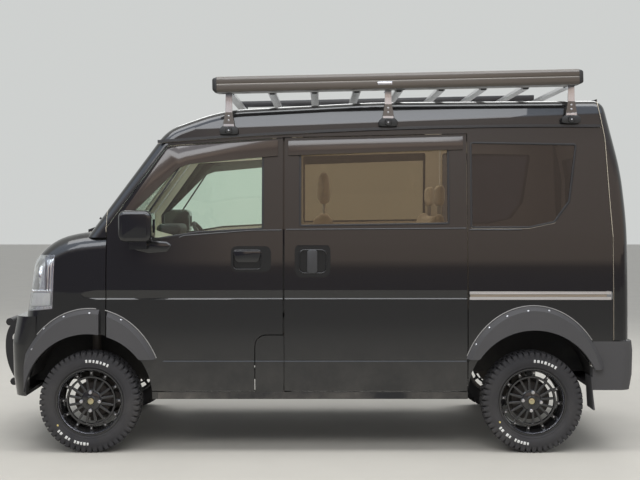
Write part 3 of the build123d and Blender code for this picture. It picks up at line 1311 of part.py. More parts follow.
# ------------------------------------------------------------------ cowl and wipers
wiper_radius = 7.0
screen_normal = (sin(radians(screen_rake)), 0, cos(radians(screen_rake)))
screen_up = (-cos(radians(screen_rake)), 0, sin(radians(screen_rake)))
cowl_half_width = half_width - 197.5
with BuildPart() as cowl_and_wipers:
    with BuildSketch(Plane.XZ.offset(-cowl_half_width)):
        with BuildLine():
            Polyline((screen_x(screen_base_z + 12), screen_base_z + 12), (screen_x(screen_base_z + 12) + 16,
                     screen_base_z + 24), (bonnet_rear_x - 8, screen_base_z + 10), (bonnet_rear_x - 8, screen_base_z - 60),
                     (screen_x(screen_base_z) - 30, screen_base_z - 60), close=True)
        make_face()
    extrude(amount=2 * cowl_half_width)
    for y, span in ((-330, 520), (180, 420)):
        with BuildSketch(Plane(origin=(screen_x(screen_base_z + 14) + 10, y, screen_base_z + 14), x_dir=(0, 1, 0),
                               z_dir=screen_normal)):
            with Locations((span / 2, 40)):
                Rectangle(span, 12, rotation=8)
            Rectangle(16, 70)
        extrude(amount=12)
    add(cabin_form.part, mode=Mode.SUBTRACT)
    add(nose_form.part, mode=Mode.SUBTRACT)

pieces = {
    "side_frame_left": side_frame_left,
    "side_frame_right": side_frame_right,
    "roof_panel": roof_panel,
    "windscreen": windscreen,
    "front_door_left": front_door_left,
    "front_door_right": front_door_right,
    "door_glass_left": door_glass_left,
    "door_glass_right": door_glass_right,
    "sliding_door_left": sliding_door_left,
    "sliding_door_right": sliding_door_right,
    "rear_side_glass": rear_side_glass,
    "bonnet": bonnet,
    "front_body": front_body,
    "headlamps": headlamps,
    "front_bumper": front_bumper,
    "grille": grille,
    "tail_lamps": tail_lamps,
    "rear_bumper": rear_bumper,
    "front_guard": front_guard,
    "tailgate": tailgate,
    "tailgate_glass": tailgate_glass,
    "tailgate_bracket": tailgate_bracket,
    "floor_pan": floor_pan,
    "knuckle_left": knuckle_left,
    "knuckle_right": knuckle_right,
    "chassis_frame": chassis_frame,
    "engine": engine,
    "fuel_tank": fuel_tank,
    "exhaust": exhaust,
    "rear_axle": rear_axle,
    "front_suspension": front_suspension,
    "dashboard": dashboard,
    "front_seats": front_seats,
    "rear_seat": rear_seat,
    "steering_wheel": steering_wheel,
    "wheel_flares": wheel_flares,
    "mudflaps": mudflaps,
    "door_fittings_left": door_fittings_left,
    "door_fittings_right": door_fittings_right,
    "slide_door_trim": slide_door_trim,
    "slide_rails": slide_rails,
    "rain_gutters": rain_gutters,
    "roof_rack": roof_rack,
    "rack_crossbars": rack_crossbars,
    "awning": awning,
    "cowl_and_wipers": cowl_and_wipers,
    **wheel_pieces,
}
for name, piece in pieces.items():
    piece.part.label = name
    export_step(piece.part, f"parts/{name}.step")
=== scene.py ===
from contextlib import contextmanager
from math import atan2, cos, pi, radians, sin
import bpy
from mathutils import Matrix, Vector


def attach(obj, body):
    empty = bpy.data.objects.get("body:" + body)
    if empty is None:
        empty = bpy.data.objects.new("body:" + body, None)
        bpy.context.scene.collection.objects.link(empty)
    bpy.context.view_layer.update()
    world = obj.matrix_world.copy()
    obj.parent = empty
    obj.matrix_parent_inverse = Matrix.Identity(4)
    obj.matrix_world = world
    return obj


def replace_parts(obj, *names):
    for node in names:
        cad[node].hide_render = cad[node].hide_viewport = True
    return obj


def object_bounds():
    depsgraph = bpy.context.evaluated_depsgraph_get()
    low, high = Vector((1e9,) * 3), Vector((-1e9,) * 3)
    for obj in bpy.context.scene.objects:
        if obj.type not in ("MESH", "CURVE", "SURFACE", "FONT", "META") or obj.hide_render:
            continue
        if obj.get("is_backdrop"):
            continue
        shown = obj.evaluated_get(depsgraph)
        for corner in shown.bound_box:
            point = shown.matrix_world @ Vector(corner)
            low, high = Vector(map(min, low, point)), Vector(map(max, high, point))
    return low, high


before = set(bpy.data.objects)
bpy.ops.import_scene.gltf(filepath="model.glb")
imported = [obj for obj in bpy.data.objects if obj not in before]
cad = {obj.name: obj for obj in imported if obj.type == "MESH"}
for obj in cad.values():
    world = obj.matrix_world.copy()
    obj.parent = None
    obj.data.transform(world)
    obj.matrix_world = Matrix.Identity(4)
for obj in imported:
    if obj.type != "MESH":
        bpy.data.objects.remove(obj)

cad_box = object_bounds()

# ---------------------------------------------------------------- camera, floor and light
# A plain pale yard floor, an even white sky and two soft panels overhead. The camera
# looks square at the left side from a little under six metres.
bpy.context.scene.view_settings.view_transform = "Standard"
bpy.ops.object.camera_add(location=(-0.036, 6.535, 1.357), rotation=(radians(90), 0, radians(180)))
camera = bpy.context.object
camera.name = "camera"
camera.data.lens = 59.75
camera.data.shift_y = -35 / 640
bpy.context.scene.camera = camera


def begin():
    """Object mode with nothing selected, so that an operator acts only on what comes next."""
    if bpy.context.mode != "OBJECT":
        bpy.ops.object.mode_set(mode="OBJECT")
    bpy.ops.object.select_all(action="DESELECT")


def wire(tree, kind, values=None, **settings):
    """One shader node; each value is a plain one, the output that feeds it or a node whose first output does."""
    made = tree.nodes.new("ShaderNode" + kind)
    for label, value in settings.items():
        setattr(made, label, value)
    for label, value in (values or {}).items():
        if isinstance(value, bpy.types.Node):
            value = value.outputs[0]
        if isinstance(value, bpy.types.NodeSocket):
            tree.links.new(value, made.inputs[label])
        else:
            made.inputs[label].default_value = value
    return made


def effect(name, takes, gives):
    """An empty shader node group with its named inputs and outputs."""
    tree = bpy.data.node_groups.new(name, "ShaderNodeTree")
    for label, kind, value in takes:
        socket = tree.interface.new_socket(name=label, in_out="INPUT", socket_type="NodeSocket" + kind)
        socket.default_value = value
    for label, kind in gives:
        tree.interface.new_socket(name=label, in_out="OUTPUT", socket_type="NodeSocket" + kind)
    return tree, tree.nodes.new("NodeGroupInput"), tree.nodes.new("NodeGroupOutput")


def finish(name, plain):
    """A material whose shader carries its plain values, with the shader and tree to build on."""
    made = bpy.data.materials.new(name)
    made.use_nodes = True
    tree = made.node_tree
    shader = tree.nodes["Principled BSDF"]
    for label, value in plain.items():
        shader.inputs[label].default_value = value
    return made, tree, shader


def shown(tree, shader, colour, roughness=None, normal=None):
    """Feeds the shader's colour, and its roughness and normal where they are given."""
    for label, source in (("Base Color", colour), ("Roughness", roughness), ("Normal", normal)):
        if source is not None:
            tree.links.new(source.outputs[0] if isinstance(source, bpy.types.Node) else source, shader.inputs[label])


def placed(tree, group, values):
    """A group node of an effect inside a material."""
    made = tree.nodes.new("ShaderNodeGroup")
    made.node_tree = group
    for label, value in values.items():
        made.inputs[label].default_value = value
    return made


# uneven moulded or cast surface: fine bump with slow change in shade and gloss
grain_group, takes, gives = effect("surface_grain",
    [("Colour", "Color", (0.5, 0.5, 0.5, 1)), ("Roughness", "Float", 0.5), ("Grain Scale", "Float", 900.0),
     ("Depth", "Float", 0.2), ("Change", "Float", 0.15)],
    [("Colour", "Color"), ("Roughness", "Float"), ("Normal", "Vector")])
place = wire(grain_group, "TexCoord")
fine = wire(grain_group, "TexNoise", {"Vector": place.outputs["Object"], "Scale": takes.outputs["Grain Scale"],
                                      "Detail": 3.0})
slow = wire(grain_group, "TexNoise", {"Vector": place.outputs["Object"], "Scale": 3.2, "Detail": 5.0})
bump = wire(grain_group, "Bump", {"Height": fine.outputs["Fac"], "Strength": takes.outputs["Depth"],
                                  "Distance": 0.0006})
shift = wire(grain_group, "Math", {0: slow.outputs["Fac"], 1: 0.5}, operation="SUBTRACT")
amount = wire(grain_group, "Math", {0: shift, 1: takes.outputs["Change"]}, operation="MULTIPLY")
bright = wire(grain_group, "Math", {0: amount, 1: 1.0}, operation="ADD")
tone = wire(grain_group, "VectorMath", {0: takes.outputs["Colour"], 3: bright}, operation="SCALE")
rough = wire(grain_group, "Math", {0: takes.outputs["Roughness"], 1: amount}, operation="SUBTRACT", use_clamp=True)
grain_group.links.new(tone.outputs[0], gives.inputs["Colour"])
grain_group.links.new(rough.outputs[0], gives.inputs["Roughness"])
grain_group.links.new(bump.outputs[0], gives.inputs["Normal"])


def grained(name, colour, roughness, scale=900.0, depth=0.2, change=0.15, plain=None):
    """Material with the uneven surface over one colour."""
    made, tree, shader = finish(name, plain or {})
    grain = placed(tree, grain_group, {"Colour": (*colour, 1), "Roughness": roughness, "Grain Scale": scale,
                                       "Depth": depth, "Change": change})
    shown(tree, shader, grain.outputs["Colour"], grain.outputs["Roughness"], grain.outputs["Normal"])
    return made


begin()
bpy.ops.mesh.primitive_plane_add(size=60, location=(0, 0, 0))
floor = bpy.context.object
floor.name = "yard_floor"
floor.data.materials.append(grained("pale_concrete", (0.60, 0.575, 0.52), 0.75, 260.0, 0.25, 0.10))
floor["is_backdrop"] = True

world = bpy.data.worlds.new("even_sky")
bpy.context.scene.world = world
world.use_nodes = True
sky = world.node_tree
sky.nodes.clear()
ray = wire(sky, "LightPath")
seen = wire(sky, "Math", {0: ray.outputs["Is Camera Ray"], 1: ray.outputs["Is Glossy Ray"]}, operation="MAXIMUM")
seen = wire(sky, "Math", {0: seen, 1: ray.outputs["Is Transmission Ray"]}, operation="MAXIMUM")
light = wire(sky, "Background", {"Color": (0.93, 0.96, 1.0, 1), "Strength": 0.55})
where = wire(sky, "SeparateXYZ", {0: wire(sky, "TexCoord").outputs["Generated"]})
height = wire(sky, "ValToRGB", {0: where.outputs["Z"]})
for place, tone in ((0.004, (0.17, 0.15, 0.18, 1)), (0.03, (0.22, 0.18, 0.18, 1)), (0.05, (0.90, 0.72, 0.60, 1)),
                    (0.20, (1.05, 0.86, 0.74, 1)), (0.26, (0.60, 0.52, 0.50, 1)), (0.36, (0.80, 0.80, 0.86, 1)),
                    (0.46, (1.25, 1.40, 1.65, 1))):
    height.color_ramp.elements.new(place).color = tone
height.color_ramp.elements.remove(height.color_ramp.elements[0])
height.color_ramp.elements.remove(height.color_ramp.elements[-1])
aside = wire(sky, "MapRange", {"Value": where.outputs["X"], "From Min": 0.08, "From Max": 0.17}, clamp=True)
under = wire(sky, "MapRange", {"Value": where.outputs["Z"], "From Min": 0.30, "From Max": 0.20}, clamp=True)
shaded = wire(sky, "Math", {0: aside, 1: under}, operation="MULTIPLY")
opposite = wire(sky, "MixRGB", {"Fac": shaded, "Color1": height, "Color2": (0.15, 0.14, 0.19, 1)})
ahead = wire(sky, "MapRange", {"Value": where.outputs["Y"], "From Min": 0.02, "From Max": 0.30}, clamp=True)
ahead = wire(sky, "Math", {0: ahead, 1: ray.outputs["Is Glossy Ray"]}, operation="MULTIPLY")
around = wire(sky, "MixRGB", {"Fac": ahead, "Color1": (0.62, 0.635, 0.625, 1), "Color2": opposite})
pale = wire(sky, "Background", {"Color": around, "Strength": 1.0})
both = wire(sky, "MixShader", {0: seen, 1: light, 2: pale})
wire(sky, "OutputWorld", {"Surface": both})

for label, spot, size, power, aim in (("panel_over", (-0.2, 1.5, 4.7), (7.0, 1.7), 150.0, (-0.2, 0.4, 0.9)),
                                      ("panel_front", (0.5, 4.6, 3.9), (5.0, 1.6), 90.0, (0, 0, 0.9)),
                                      ("panel_back", (-0.6, -3.6, 4.2), (6.0, 2.0), 110.0, (0, 0, 0.9)),
                                      ("cabin_front", (0.60, 0.0, 1.77), (0.7, 1.0), 5.0, (0.60, 0, 0.9)),
                                      ("cabin_rear", (-0.75, 0.0, 1.83), (1.2, 1.0), 5.0, (-0.75, 0, 0.9))):
    bpy.ops.object.light_add(type="AREA", location=spot)
    lamp = bpy.context.object
    lamp.name = label
    lamp.data.shape = "RECTANGLE"
    lamp.data.size, lamp.data.size_y = size
    lamp.data.energy = power
    lamp.rotation_euler = (Vector(aim) - Vector(spot)).to_track_quat("-Z", "Y").to_euler()
    if label.startswith("cabin"):
        lamp.visible_camera = lamp.visible_transmission = lamp.visible_glossy = False

# ---------------------------------------------------------------- painted body
# Pressed steel panels in gloss black with a clear coat over fine flake. Dust lies thin
# on what faces up and along the foot of the sides.


def dress(material, *names):
    """Puts a material on CAD nodes."""
    for name in names:
        for slot in cad[name].material_slots:
            slot.material = material


dust_group, takes, gives = effect("settled_dust",
    [("Colour", "Color", (0.01, 0.01, 0.01, 1)), ("Roughness", "Float", 0.3), ("Amount", "Float", 0.1)],
    [("Colour", "Color"), ("Roughness", "Float")])
place = wire(dust_group, "TexCoord")
facing = wire(dust_group, "SeparateXYZ", {0: wire(dust_group, "NewGeometry").outputs["Normal"]})
height = wire(dust_group, "SeparateXYZ", {0: place.outputs["Object"]})
low = wire(dust_group, "MapRange", {"Value": height.outputs["Z"], "From Min": 0.62, "From Max": 0.25}, clamp=True)
up = wire(dust_group, "MapRange", {"Value": facing.outputs["Z"], "From Min": 0.35, "From Max": 1.0}, clamp=True)
most = wire(dust_group, "Math", {0: low, 1: up}, operation="MAXIMUM")
cloud = wire(dust_group, "TexNoise", {"Vector": place.outputs["Object"], "Scale": 5.0, "Detail": 8.0,
                                      "Roughness": 0.65})
patch = wire(dust_group, "MapRange", {"Value": cloud.outputs["Fac"], "From Min": 0.38, "From Max": 0.72}, clamp=True)
share = wire(dust_group, "Math", {0: most, 1: patch}, operation="MULTIPLY")
share = wire(dust_group, "Math", {0: share, 1: takes.outputs["Amount"]}, operation="MULTIPLY", use_clamp=True)
dusty = wire(dust_group, "MixRGB", {"Fac": share, "Color1": takes.outputs["Colour"], "Color2": (0.36, 0.33, 0.29, 1)})
dull = wire(dust_group, "Math", {0: share, 1: 1.6}, operation="MULTIPLY")
dull = wire(dust_group, "Math", {0: dull, 1: takes.outputs["Roughness"]}, operation="ADD", use_clamp=True)
dust_group.links.new(dusty.outputs[0], gives.inputs["Colour"])
dust_group.links.new(dull.outputs[0], gives.inputs["Roughness"])

black_paint, tree, shader = finish("gloss_black_paint", {"Metallic": 0.0, "Specular IOR Level": 0.25,
                                                         "Coat Weight": 1.0,
                                                         "Coat Roughness": 0.015, "Coat IOR": 1.5})
place = wire(tree, "TexCoord")
flake = wire(tree, "TexVoronoi", {"Vector": place.outputs["Object"], "Scale": 1600.0})
flecks = wire(tree, "ValToRGB", {0: flake.outputs["Distance"]})
flecks.color_ramp.elements[0].color = (0.020, 0.021, 0.024, 1)
flecks.color_ramp.elements[1].color = (0.0045, 0.0045, 0.005, 1)
flecks.color_ramp.elements[1].position = 0.35
dust = placed(tree, dust_group, {"Roughness": 0.28, "Amount": 0.10})
tree.links.new(flecks.outputs[0], dust.inputs["Colour"])
peel = wire(tree, "TexNoise", {"Vector": place.outputs["Object"], "Scale": 55.0, "Detail": 1.0})
wave = wire(tree, "Bump", {"Height": peel.outputs["Fac"], "Strength": 0.012, "Distance": 0.004})
shown(tree, shader, dust.outputs["Colour"], dust.outputs["Roughness"], wave)
dress(black_paint, "side_frame_left", "side_frame_right", "roof_panel", "sliding_door_left", "sliding_door_right",
      "front_body", "bonnet", "tailgate", "front_door_left", "front_door_right", "front_bumper")

# ---------------------------------------------------------------- floor pan, frame, axles and exhaust
# Welded steel under the body, coated matt black with sprayed-up dust; cast engine block,
# dull steel exhaust and a pressed tank.


def dusted(name, colour, roughness, scale, depth, change, amount, plain):
    """Grained material with dust settled over it."""
    made, tree, shader = finish(name, plain)
    grain = placed(tree, grain_group, {"Colour": (*colour, 1), "Roughness": roughness, "Grain Scale": scale,
                                       "Depth": depth, "Change": change})
    dust = placed(tree, dust_group, {"Amount": amount})
    for label in ("Colour", "Roughness"):
        tree.links.new(grain.outputs[label], dust.inputs[label])
    shown(tree, shader, dust.outputs["Colour"], dust.outputs["Roughness"], grain.outputs["Normal"])
    return made


under_coat = dusted("underbody_coating", (0.020, 0.020, 0.021), 0.72, 420.0, 0.5, 0.4, 0.35,
                    {"Specular IOR Level": 0.3})
dress(under_coat, "floor_pan", "chassis_frame", "fuel_tank")
axle_paint = grained("axle_paint", (0.060, 0.050, 0.043), 0.6, 380.0, 0.5, 0.7)
dress(axle_paint, "knuckle_left", "knuckle_right", "rear_axle", "front_suspension")
dress(grained("cast_block", (0.20, 0.20, 0.20), 0.5, 240.0, 0.6, 0.3, {"Metallic": 0.8}), "engine")
dress(grained("exhaust_steel", (0.33, 0.29, 0.25), 0.42, 90.0, 0.25, 0.5, {"Metallic": 0.9}), "exhaust")

# ---------------------------------------------------------------- wheels
# Light alloy rims in gloss black: a deep lip, a spoke ring with eight pairs of narrow
# spokes, four nuts and a bare brass-coloured cap; mud tyres with cut shoulder blocks.


def work_on(piece):
    """Only this piece selected and active."""
    begin()
    piece.select_set(True)
    bpy.context.view_layer.objects.active = piece
    return piece


@contextmanager
def edit_all():
    """Edit mode on the active piece with its whole mesh selected, left again afterwards."""
    bpy.ops.object.mode_set(mode="EDIT")
    bpy.ops.mesh.select_all(action="SELECT")
    yield
    bpy.ops.object.mode_set(mode="OBJECT")


def turned(name, section, steps=96):
    """Closed section of (distance from the axle, place along it), spun round the axle."""
    begin()
    bpy.ops.mesh.primitive_circle_add(vertices=len(section), fill_type="NOTHING")
    piece = bpy.context.object
    piece.name = name
    for vertex, (out_from, along) in zip(piece.data.vertices, section):
        vertex.co = (0, along, out_from)
    with edit_all():
        bpy.ops.mesh.spin(steps=steps, angle=2 * pi, center=(0, 0, 0), axis=(0, 1, 0))
        bpy.ops.mesh.select_all(action="SELECT")
        bpy.ops.mesh.remove_doubles(threshold=0.00002)
        bpy.ops.mesh.normals_make_consistent(inside=False)
    return piece


def block(name, low, high):
    """Upright block between two corners, ready to be shaped."""
    begin()
    bpy.ops.mesh.primitive_cube_add(size=1, location=[(a + b) / 2 for a, b in zip(low, high)])
    piece = bpy.context.object
    piece.name = name
    piece.scale = [abs(b - a) for a, b in zip(low, high)]
    bpy.ops.object.transform_apply(location=True, rotation=True, scale=True)
    return piece


def eased(piece, width, segments=2, angle=35):
    """Bevelled edges, applied, with smooth shading up to the angle."""
    work_on(piece)
    bpy.ops.object.modifier_add(type="BEVEL")
    bevel = piece.modifiers[-1]
    bevel.width = width
    bevel.segments = segments
    bevel.limit_method = "ANGLE"
    bevel.angle_limit = radians(angle)
    bevel.use_clamp_overlap = True
    bpy.ops.object.modifier_apply(modifier=bevel.name)
    bpy.ops.object.shade_smooth_by_angle(angle=radians(angle))
    return piece


def painted(piece, material):
    """The piece's only material."""
    piece.data.materials.clear()
    piece.data.materials.append(material)
    return piece


def joined(name, *pieces):
    """Several meshes made one."""
    begin()
    for piece in pieces:
        piece.select_set(True)
    bpy.context.view_layer.objects.active = pieces[0]
    bpy.ops.object.join()
    pieces[0].name = name
    return pieces[0]


def shifted(piece, move=(0, 0, 0), turn=(0, 0, 0)):
    """The piece itself turned about the origin, then moved."""
    work_on(piece)
    piece.rotation_euler = turn
    piece.location = move
    bpy.ops.object.transform_apply(location=True, rotation=True, scale=True)
    return piece


def pin(vertices, radius, depth, spot, lean=0.0):
    """Round or six-sided pin beside the axle, parallel to it but for its lean."""
    begin()
    bpy.ops.mesh.primitive_cylinder_add(vertices=vertices, radius=radius, depth=depth, location=spot,
                                        rotation=(pi / 2 - lean, 0, 0))
    bpy.ops.object.transform_apply(location=True, rotation=True, scale=True)
    return bpy.context.object


def twin(piece, name, turn=(0, 0, 0), move=(0, 0, 0)):
    """A copy with its own mesh, turned about the origin and moved."""
    work_on(piece)
    bpy.ops.object.duplicate()
    made = bpy.context.object
    made.name = name
    return shifted(made, move, turn)


def ringed(piece, name, count):
    """Even copies of a piece round the axle, joined."""
    return joined(name, piece, *[twin(piece, name, (0, 2 * pi * step / count, 0)) for step in range(1, count)])


def smooth(piece, angle=35):
    """Smooth shading up to the angle."""
    work_on(piece)
    bpy.ops.object.shade_smooth_by_angle(angle=radians(angle))
    return piece


rim_black = dusted("rim_black", (0.011, 0.011, 0.012), 0.22, 500.0, 0.04, 0.3, 0.05,
                   {"Specular IOR Level": 0.45, "Coat Weight": 0.7, "Coat Roughness": 0.05})
bright_lip = grained("polished_lip", (0.34, 0.34, 0.37), 0.2, 300.0, 0.05, 0.2, {"Metallic": 1.0})
brass_cap = grained("brass_cap", (0.52, 0.47, 0.30), 0.28, 700.0, 0.08, 0.2, {"Metallic": 1.0})
nut_steel = grained("plated_steel", (0.55, 0.55, 0.56), 0.3, 600.0, 0.1, 0.3, {"Metallic": 1.0})

barrel = painted(smooth(turned("barrel", [
    (0.184, 0.064), (0.1835, 0.0585), (0.180, 0.057), (0.1715, 0.050), (0.168, 0.036), (0.166, 0.006),
    (0.160, -0.002),
    (0.158, -0.062), (0.162, -0.064), (0.184, -0.064), (0.184, -0.058), (0.174, -0.054), (0.172, -0.03),
    (0.172, 0.03), (0.175, 0.052), (0.178, 0.0638)], 128)), rim_black)
gleam = painted(smooth(turned("lip_gleam", [
    (0.1792, 0.0575), (0.1712, 0.0507), (0.1696, 0.0455), (0.1705, 0.0450), (0.1720, 0.0500),
    (0.1797, 0.0568)], 128)), bright_lip)
spoke_ring = painted(smooth(turned("spoke_ring", [
    (0.137, 0.020), (0.135, 0.0235), (0.127, 0.0235), (0.1245, 0.020), (0.1245, 0.004),
    (0.137, 0.004)], 96)), rim_black)
hub = painted(smooth(turned("hub", [
    (0.0, 0.030), (0.044, 0.030), (0.052, 0.0275), (0.056, 0.022), (0.060, 0.020), (0.060, 0.004), (0.020, 0.002),
    (0.020, 0.012), (0.0, 0.012)], 64)), rim_black)
collar = painted(smooth(turned("hub_collar", [
    (0.0285, 0.028), (0.0285, 0.0335), (0.026, 0.0355), (0.0215, 0.0355), (0.0205, 0.034),
    (0.0205, 0.028)], 48)), rim_black)
cap = painted(smooth(turned("cap", [
    (0.0, 0.0368), (0.010, 0.0364), (0.0165, 0.0348), (0.0185, 0.0325), (0.0190, 0.0290),
    (0.0, 0.0290)], 40)), brass_cap)


def spoke_bar(lean):
    """One narrow spoke that widens at its root and ends on the ring."""
    root, tip = 0.048, 0.130
    bar = block("spoke", (-0.0065, 0.003, root), (0.0065, 0.019, tip))
    with edit_all():
        bpy.ops.mesh.subdivide(number_cuts=3)
    for vertex in bar.data.vertices:
        share = (vertex.co.z - root) / (tip - root)
        vertex.co.x *= 1.25 - 0.35 * share
        vertex.co.x += lean * (0.0125 + 0.0135 * share)
        if vertex.co.y > 0.01:
            vertex.co.y += 0.004 * (1 - share) ** 2
    return eased(bar, 0.0022, 2, 50)


def outer_tab():
    """Short bridge from the spoke ring to the barrel, with a waist."""
    tab = block("tab", (-0.011, 0.0, 0.134), (0.011, 0.0145, 0.1685))
    with edit_all():
        bpy.ops.mesh.subdivide(number_cuts=2)
    for vertex in tab.data.vertices:
        share = abs(vertex.co.z - 0.151) / 0.017
        vertex.co.x *= 0.72 + 0.4 * share ** 2
    return eased(tab, 0.002, 2, 50)


spokes = painted(ringed(joined("spoke_pair", spoke_bar(1), spoke_bar(-1)), "spokes", 8), rim_black)
tabs = painted(ringed(outer_tab(), "tabs", 12), rim_black)
nuts = painted(ringed(eased(pin(6, 0.0105, 0.022, (0, 0.036, 0.050)), 0.0016), "nuts", 4), nut_steel)
studs = painted(ringed(eased(pin(16, 0.0042, 0.005, (0, 0.0165, 0.1535)), 0.001), "studs", 12), nut_steel)
valve = painted(eased(pin(12, 0.004, 0.03, (0.05, 0.040, 0.148), 0.5), 0.0012), rim_black)
drum = painted(smooth(turned("drum", [(0.0, -0.026), (0.080, -0.026), (0.100, -0.030), (0.104, -0.040),
                                      (0.0, -0.042)], 64)), axle_paint)
whole_rim = joined("rim", barrel, gleam, spoke_ring, hub, collar, cap, spokes, tabs, nuts, studs, valve)

# mud tyre: carcass, blocks round the shoulders and over the tread, ribs and raised bars on the wall
rubber = dusted("tyre_rubber", (0.040, 0.039, 0.042), 0.78, 350.0, 0.3, 0.35, 0.10, {"Specular IOR Level": 0.3})
white_rubber = grained("white_rubber", (0.78, 0.78, 0.76), 0.6, 500.0, 0.15, 0.12)
yellow_spot = grained("yellow_spot", (0.72, 0.58, 0.22), 0.55, 400.0, 0.1, 0.1)

carcass = painted(smooth(turned("carcass", [
    (0.1745, -0.056), (0.184, -0.058), (0.1885, -0.064), (0.200, -0.0725), (0.218, -0.0775), (0.240, -0.0765),
    (0.252, -0.071), (0.2615, -0.064), (0.2655, -0.045), (0.267, -0.015), (0.267, 0.015), (0.2655, 0.045),
    (0.2615, 0.064), (0.252, 0.071), (0.240, 0.0765), (0.218, 0.0775), (0.200, 0.0725), (0.1885, 0.064),
    (0.184, 0.058), (0.1745, 0.056)], 128)), rubber)
rib = painted(smooth(turned("wall_rib", [(0.1915, 0.066), (0.1935, 0.0710), (0.1965, 0.0725), (0.199, 0.0715)], 128)),
              rubber)


def shoulder_block(side, step):
    """Block that wraps over the shoulder, narrower towards the wall."""
    inner, outer, foot, top = 0.030, 0.0745, 0.262, 0.2758
    lug = block("lug", (-0.0125, inner * side, foot), (0.0125, outer * side, top))
    with edit_all():
        bpy.ops.mesh.subdivide(number_cuts=2)
    for vertex in lug.data.vertices:
        far = min(1.0, max(0.0, (abs(vertex.co.y) - inner) / (outer - inner)))
        deep = min(1.0, max(0.0, (top - vertex.co.z) / (top - foot)))
        if far > 0.9:
            vertex.co.z -= 0.004 + 0.030 * deep
            vertex.co.y = side * (0.0735 + 0.0028 * deep)
            vertex.co.x *= 0.86
        elif far > 0.6:
            vertex.co.z -= 0.0012 + 0.004 * deep
        vertex.co.x += 0.004 * step * (1 - far)
    work_on(lug)
    with edit_all():
        bpy.ops.mesh.normals_make_consistent(inside=False)
    return eased(lug, 0.0013, 1, 50)


def tread_block(along, lean):
    """Block between the shoulders, turned a little from the axle's line."""
    lug = block("tread", (-0.010, -0.0115, 0.262), (0.010, 0.0115, 0.2757))
    return eased(shifted(lug, (0, along, 0), (0, 0, lean)), 0.0013, 1, 50)


shoulders = [shoulder_block(1, 1), shoulder_block(-1, -1)]
tread = [tread_block(0.015, 0.35), tread_block(-0.015, 0.35)]
offset = twin(joined("tread_pair", *tread), "tread_pair", (0, pi / 52, 0))
begin()
bpy.data.objects.remove(tread[0])
lugs = painted(ringed(joined("lugs", *shoulders, offset), "lugs", 52), rubber)


def wall_bar(angle, width, height, radius):
    """Raised bar on the outer wall, curved with it."""
    bar = block("wall_bar", (-width / 2, 0.0755, radius - height / 2), (width / 2, 0.0792, radius + height / 2))
    eased(bar, 0.0008, 1, 60)
    return shifted(bar, turn=(0, angle, 0))


bars = []
for middle, count, pitch in ((-0.20, 7, 0.088), (2.72, 11, 0.078)):
    for index in range(count):
        if count == 11 and index in (2, 5):
            continue
        tall = 0.015 if index % 3 else 0.0165
        bars.append(wall_bar(middle + (index - (count - 1) / 2) * pitch, 0.010 + 0.0035 * (index % 2), tall, 0.2265))
bars = painted(joined("wall_bars", *bars), white_rubber)
spot = shifted(painted(eased(pin(20, 0.0058, 0.002, (0, 0.0758, 0.212)), 0.0006, 1), yellow_spot), turn=(0, 2.2, 0))
whole_tyre = joined("tyre", carcass, rib, lugs, bars, spot)

front_x, rear_x, wheel_y, wheel_z = 1.2275, -1.2025, 0.650, 0.276
for where, x, side, roll in (("front_left", front_x, 1, 0.0), ("rear_left", rear_x, 1, -0.1),
                             ("front_right", front_x, -1, 0.4), ("rear_right", rear_x, -1, 0.9)):
    turn = (0, roll, 0) if side > 0 else (0, roll, pi)
    ready = twin(whole_rim, "alloy_rim_" + where, turn, (x, side * wheel_y, wheel_z))
    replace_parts(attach(ready, "wheel_" + where), "rim_" + where)
    ready = twin(whole_tyre, "mud_tyre_" + where, turn, (x, side * wheel_y, wheel_z))
    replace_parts(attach(ready, "wheel_" + where), "tyre_" + where)
    ready = twin(drum, "brake_drum_" + where, (0, 0, 0 if side > 0 else pi), (x, side * wheel_y, wheel_z))
    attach(ready, "wheel_" + where)
for spare in (whole_rim, whole_tyre, drum):
    bpy.data.objects.remove(spare)

# ---------------------------------------------------------------- arch flares
# Textured dark plastic over each arch, split at the door, held by bright pan-head
# screws that follow the outer edge, with a thin pale seal along the body.
flare_plastic = grained("textured_dark_plastic", (0.068, 0.066, 0.068), 0.62, 1100.0, 0.45, 0.2,
                        {"Specular IOR Level": 0.45})
dress(flare_plastic, "wheel_flares", "rear_bumper", "mudflaps")


def screw(name, spot, normal, radius=0.0065):
    """Pan-head screw set into a surface: a flattened dome with a flat rim."""
    begin()
    bpy.ops.mesh.primitive_uv_sphere_add(segments=20, ring_count=10, radius=radius)
    head = bpy.context.object
    head.name = name
    for vertex in head.data.vertices:
        vertex.co.z = max(vertex.co.z * 0.55, -0.001)
    with edit_all():
        bpy.ops.mesh.remove_doubles(threshold=0.00001)
        bpy.ops.mesh.normals_make_consistent(inside=False)
    return smooth(shifted(head, spot, Vector(normal).to_track_quat("Z", "Y").to_euler()), 60)


painted_nodes = ("side_frame_left", "front_door_left", "sliding_door_left", "front_body", "roof_panel")


def met(names, start, way):
    """The nearest place, with its normal, where a line from start meets CAD nodes."""
    best = None
    for name in names:
        found, spot, normal, _ = cad[name].ray_cast(Vector(start), Vector(way))
        if found and (best is None or (spot - Vector(start)).length < (best[0] - Vector(start)).length):
            best = (spot, normal)
    return best


def on_side(x, z, names=painted_nodes):
    """Place and normal on the left side at a spot of the side view."""
    return met(names, (x, 1.6, z), (0, -1, 0))


def to_right(piece, name):
    """Mirrored copy of a left piece for the right side."""
    work_on(piece)
    bpy.ops.object.duplicate()
    made = bpy.context.object
    made.name = name
    made.scale = (1, -1, 1)
    bpy.ops.object.transform_apply(location=True, rotation=True, scale=True)
    with edit_all():
        bpy.ops.mesh.flip_normals()
    return made


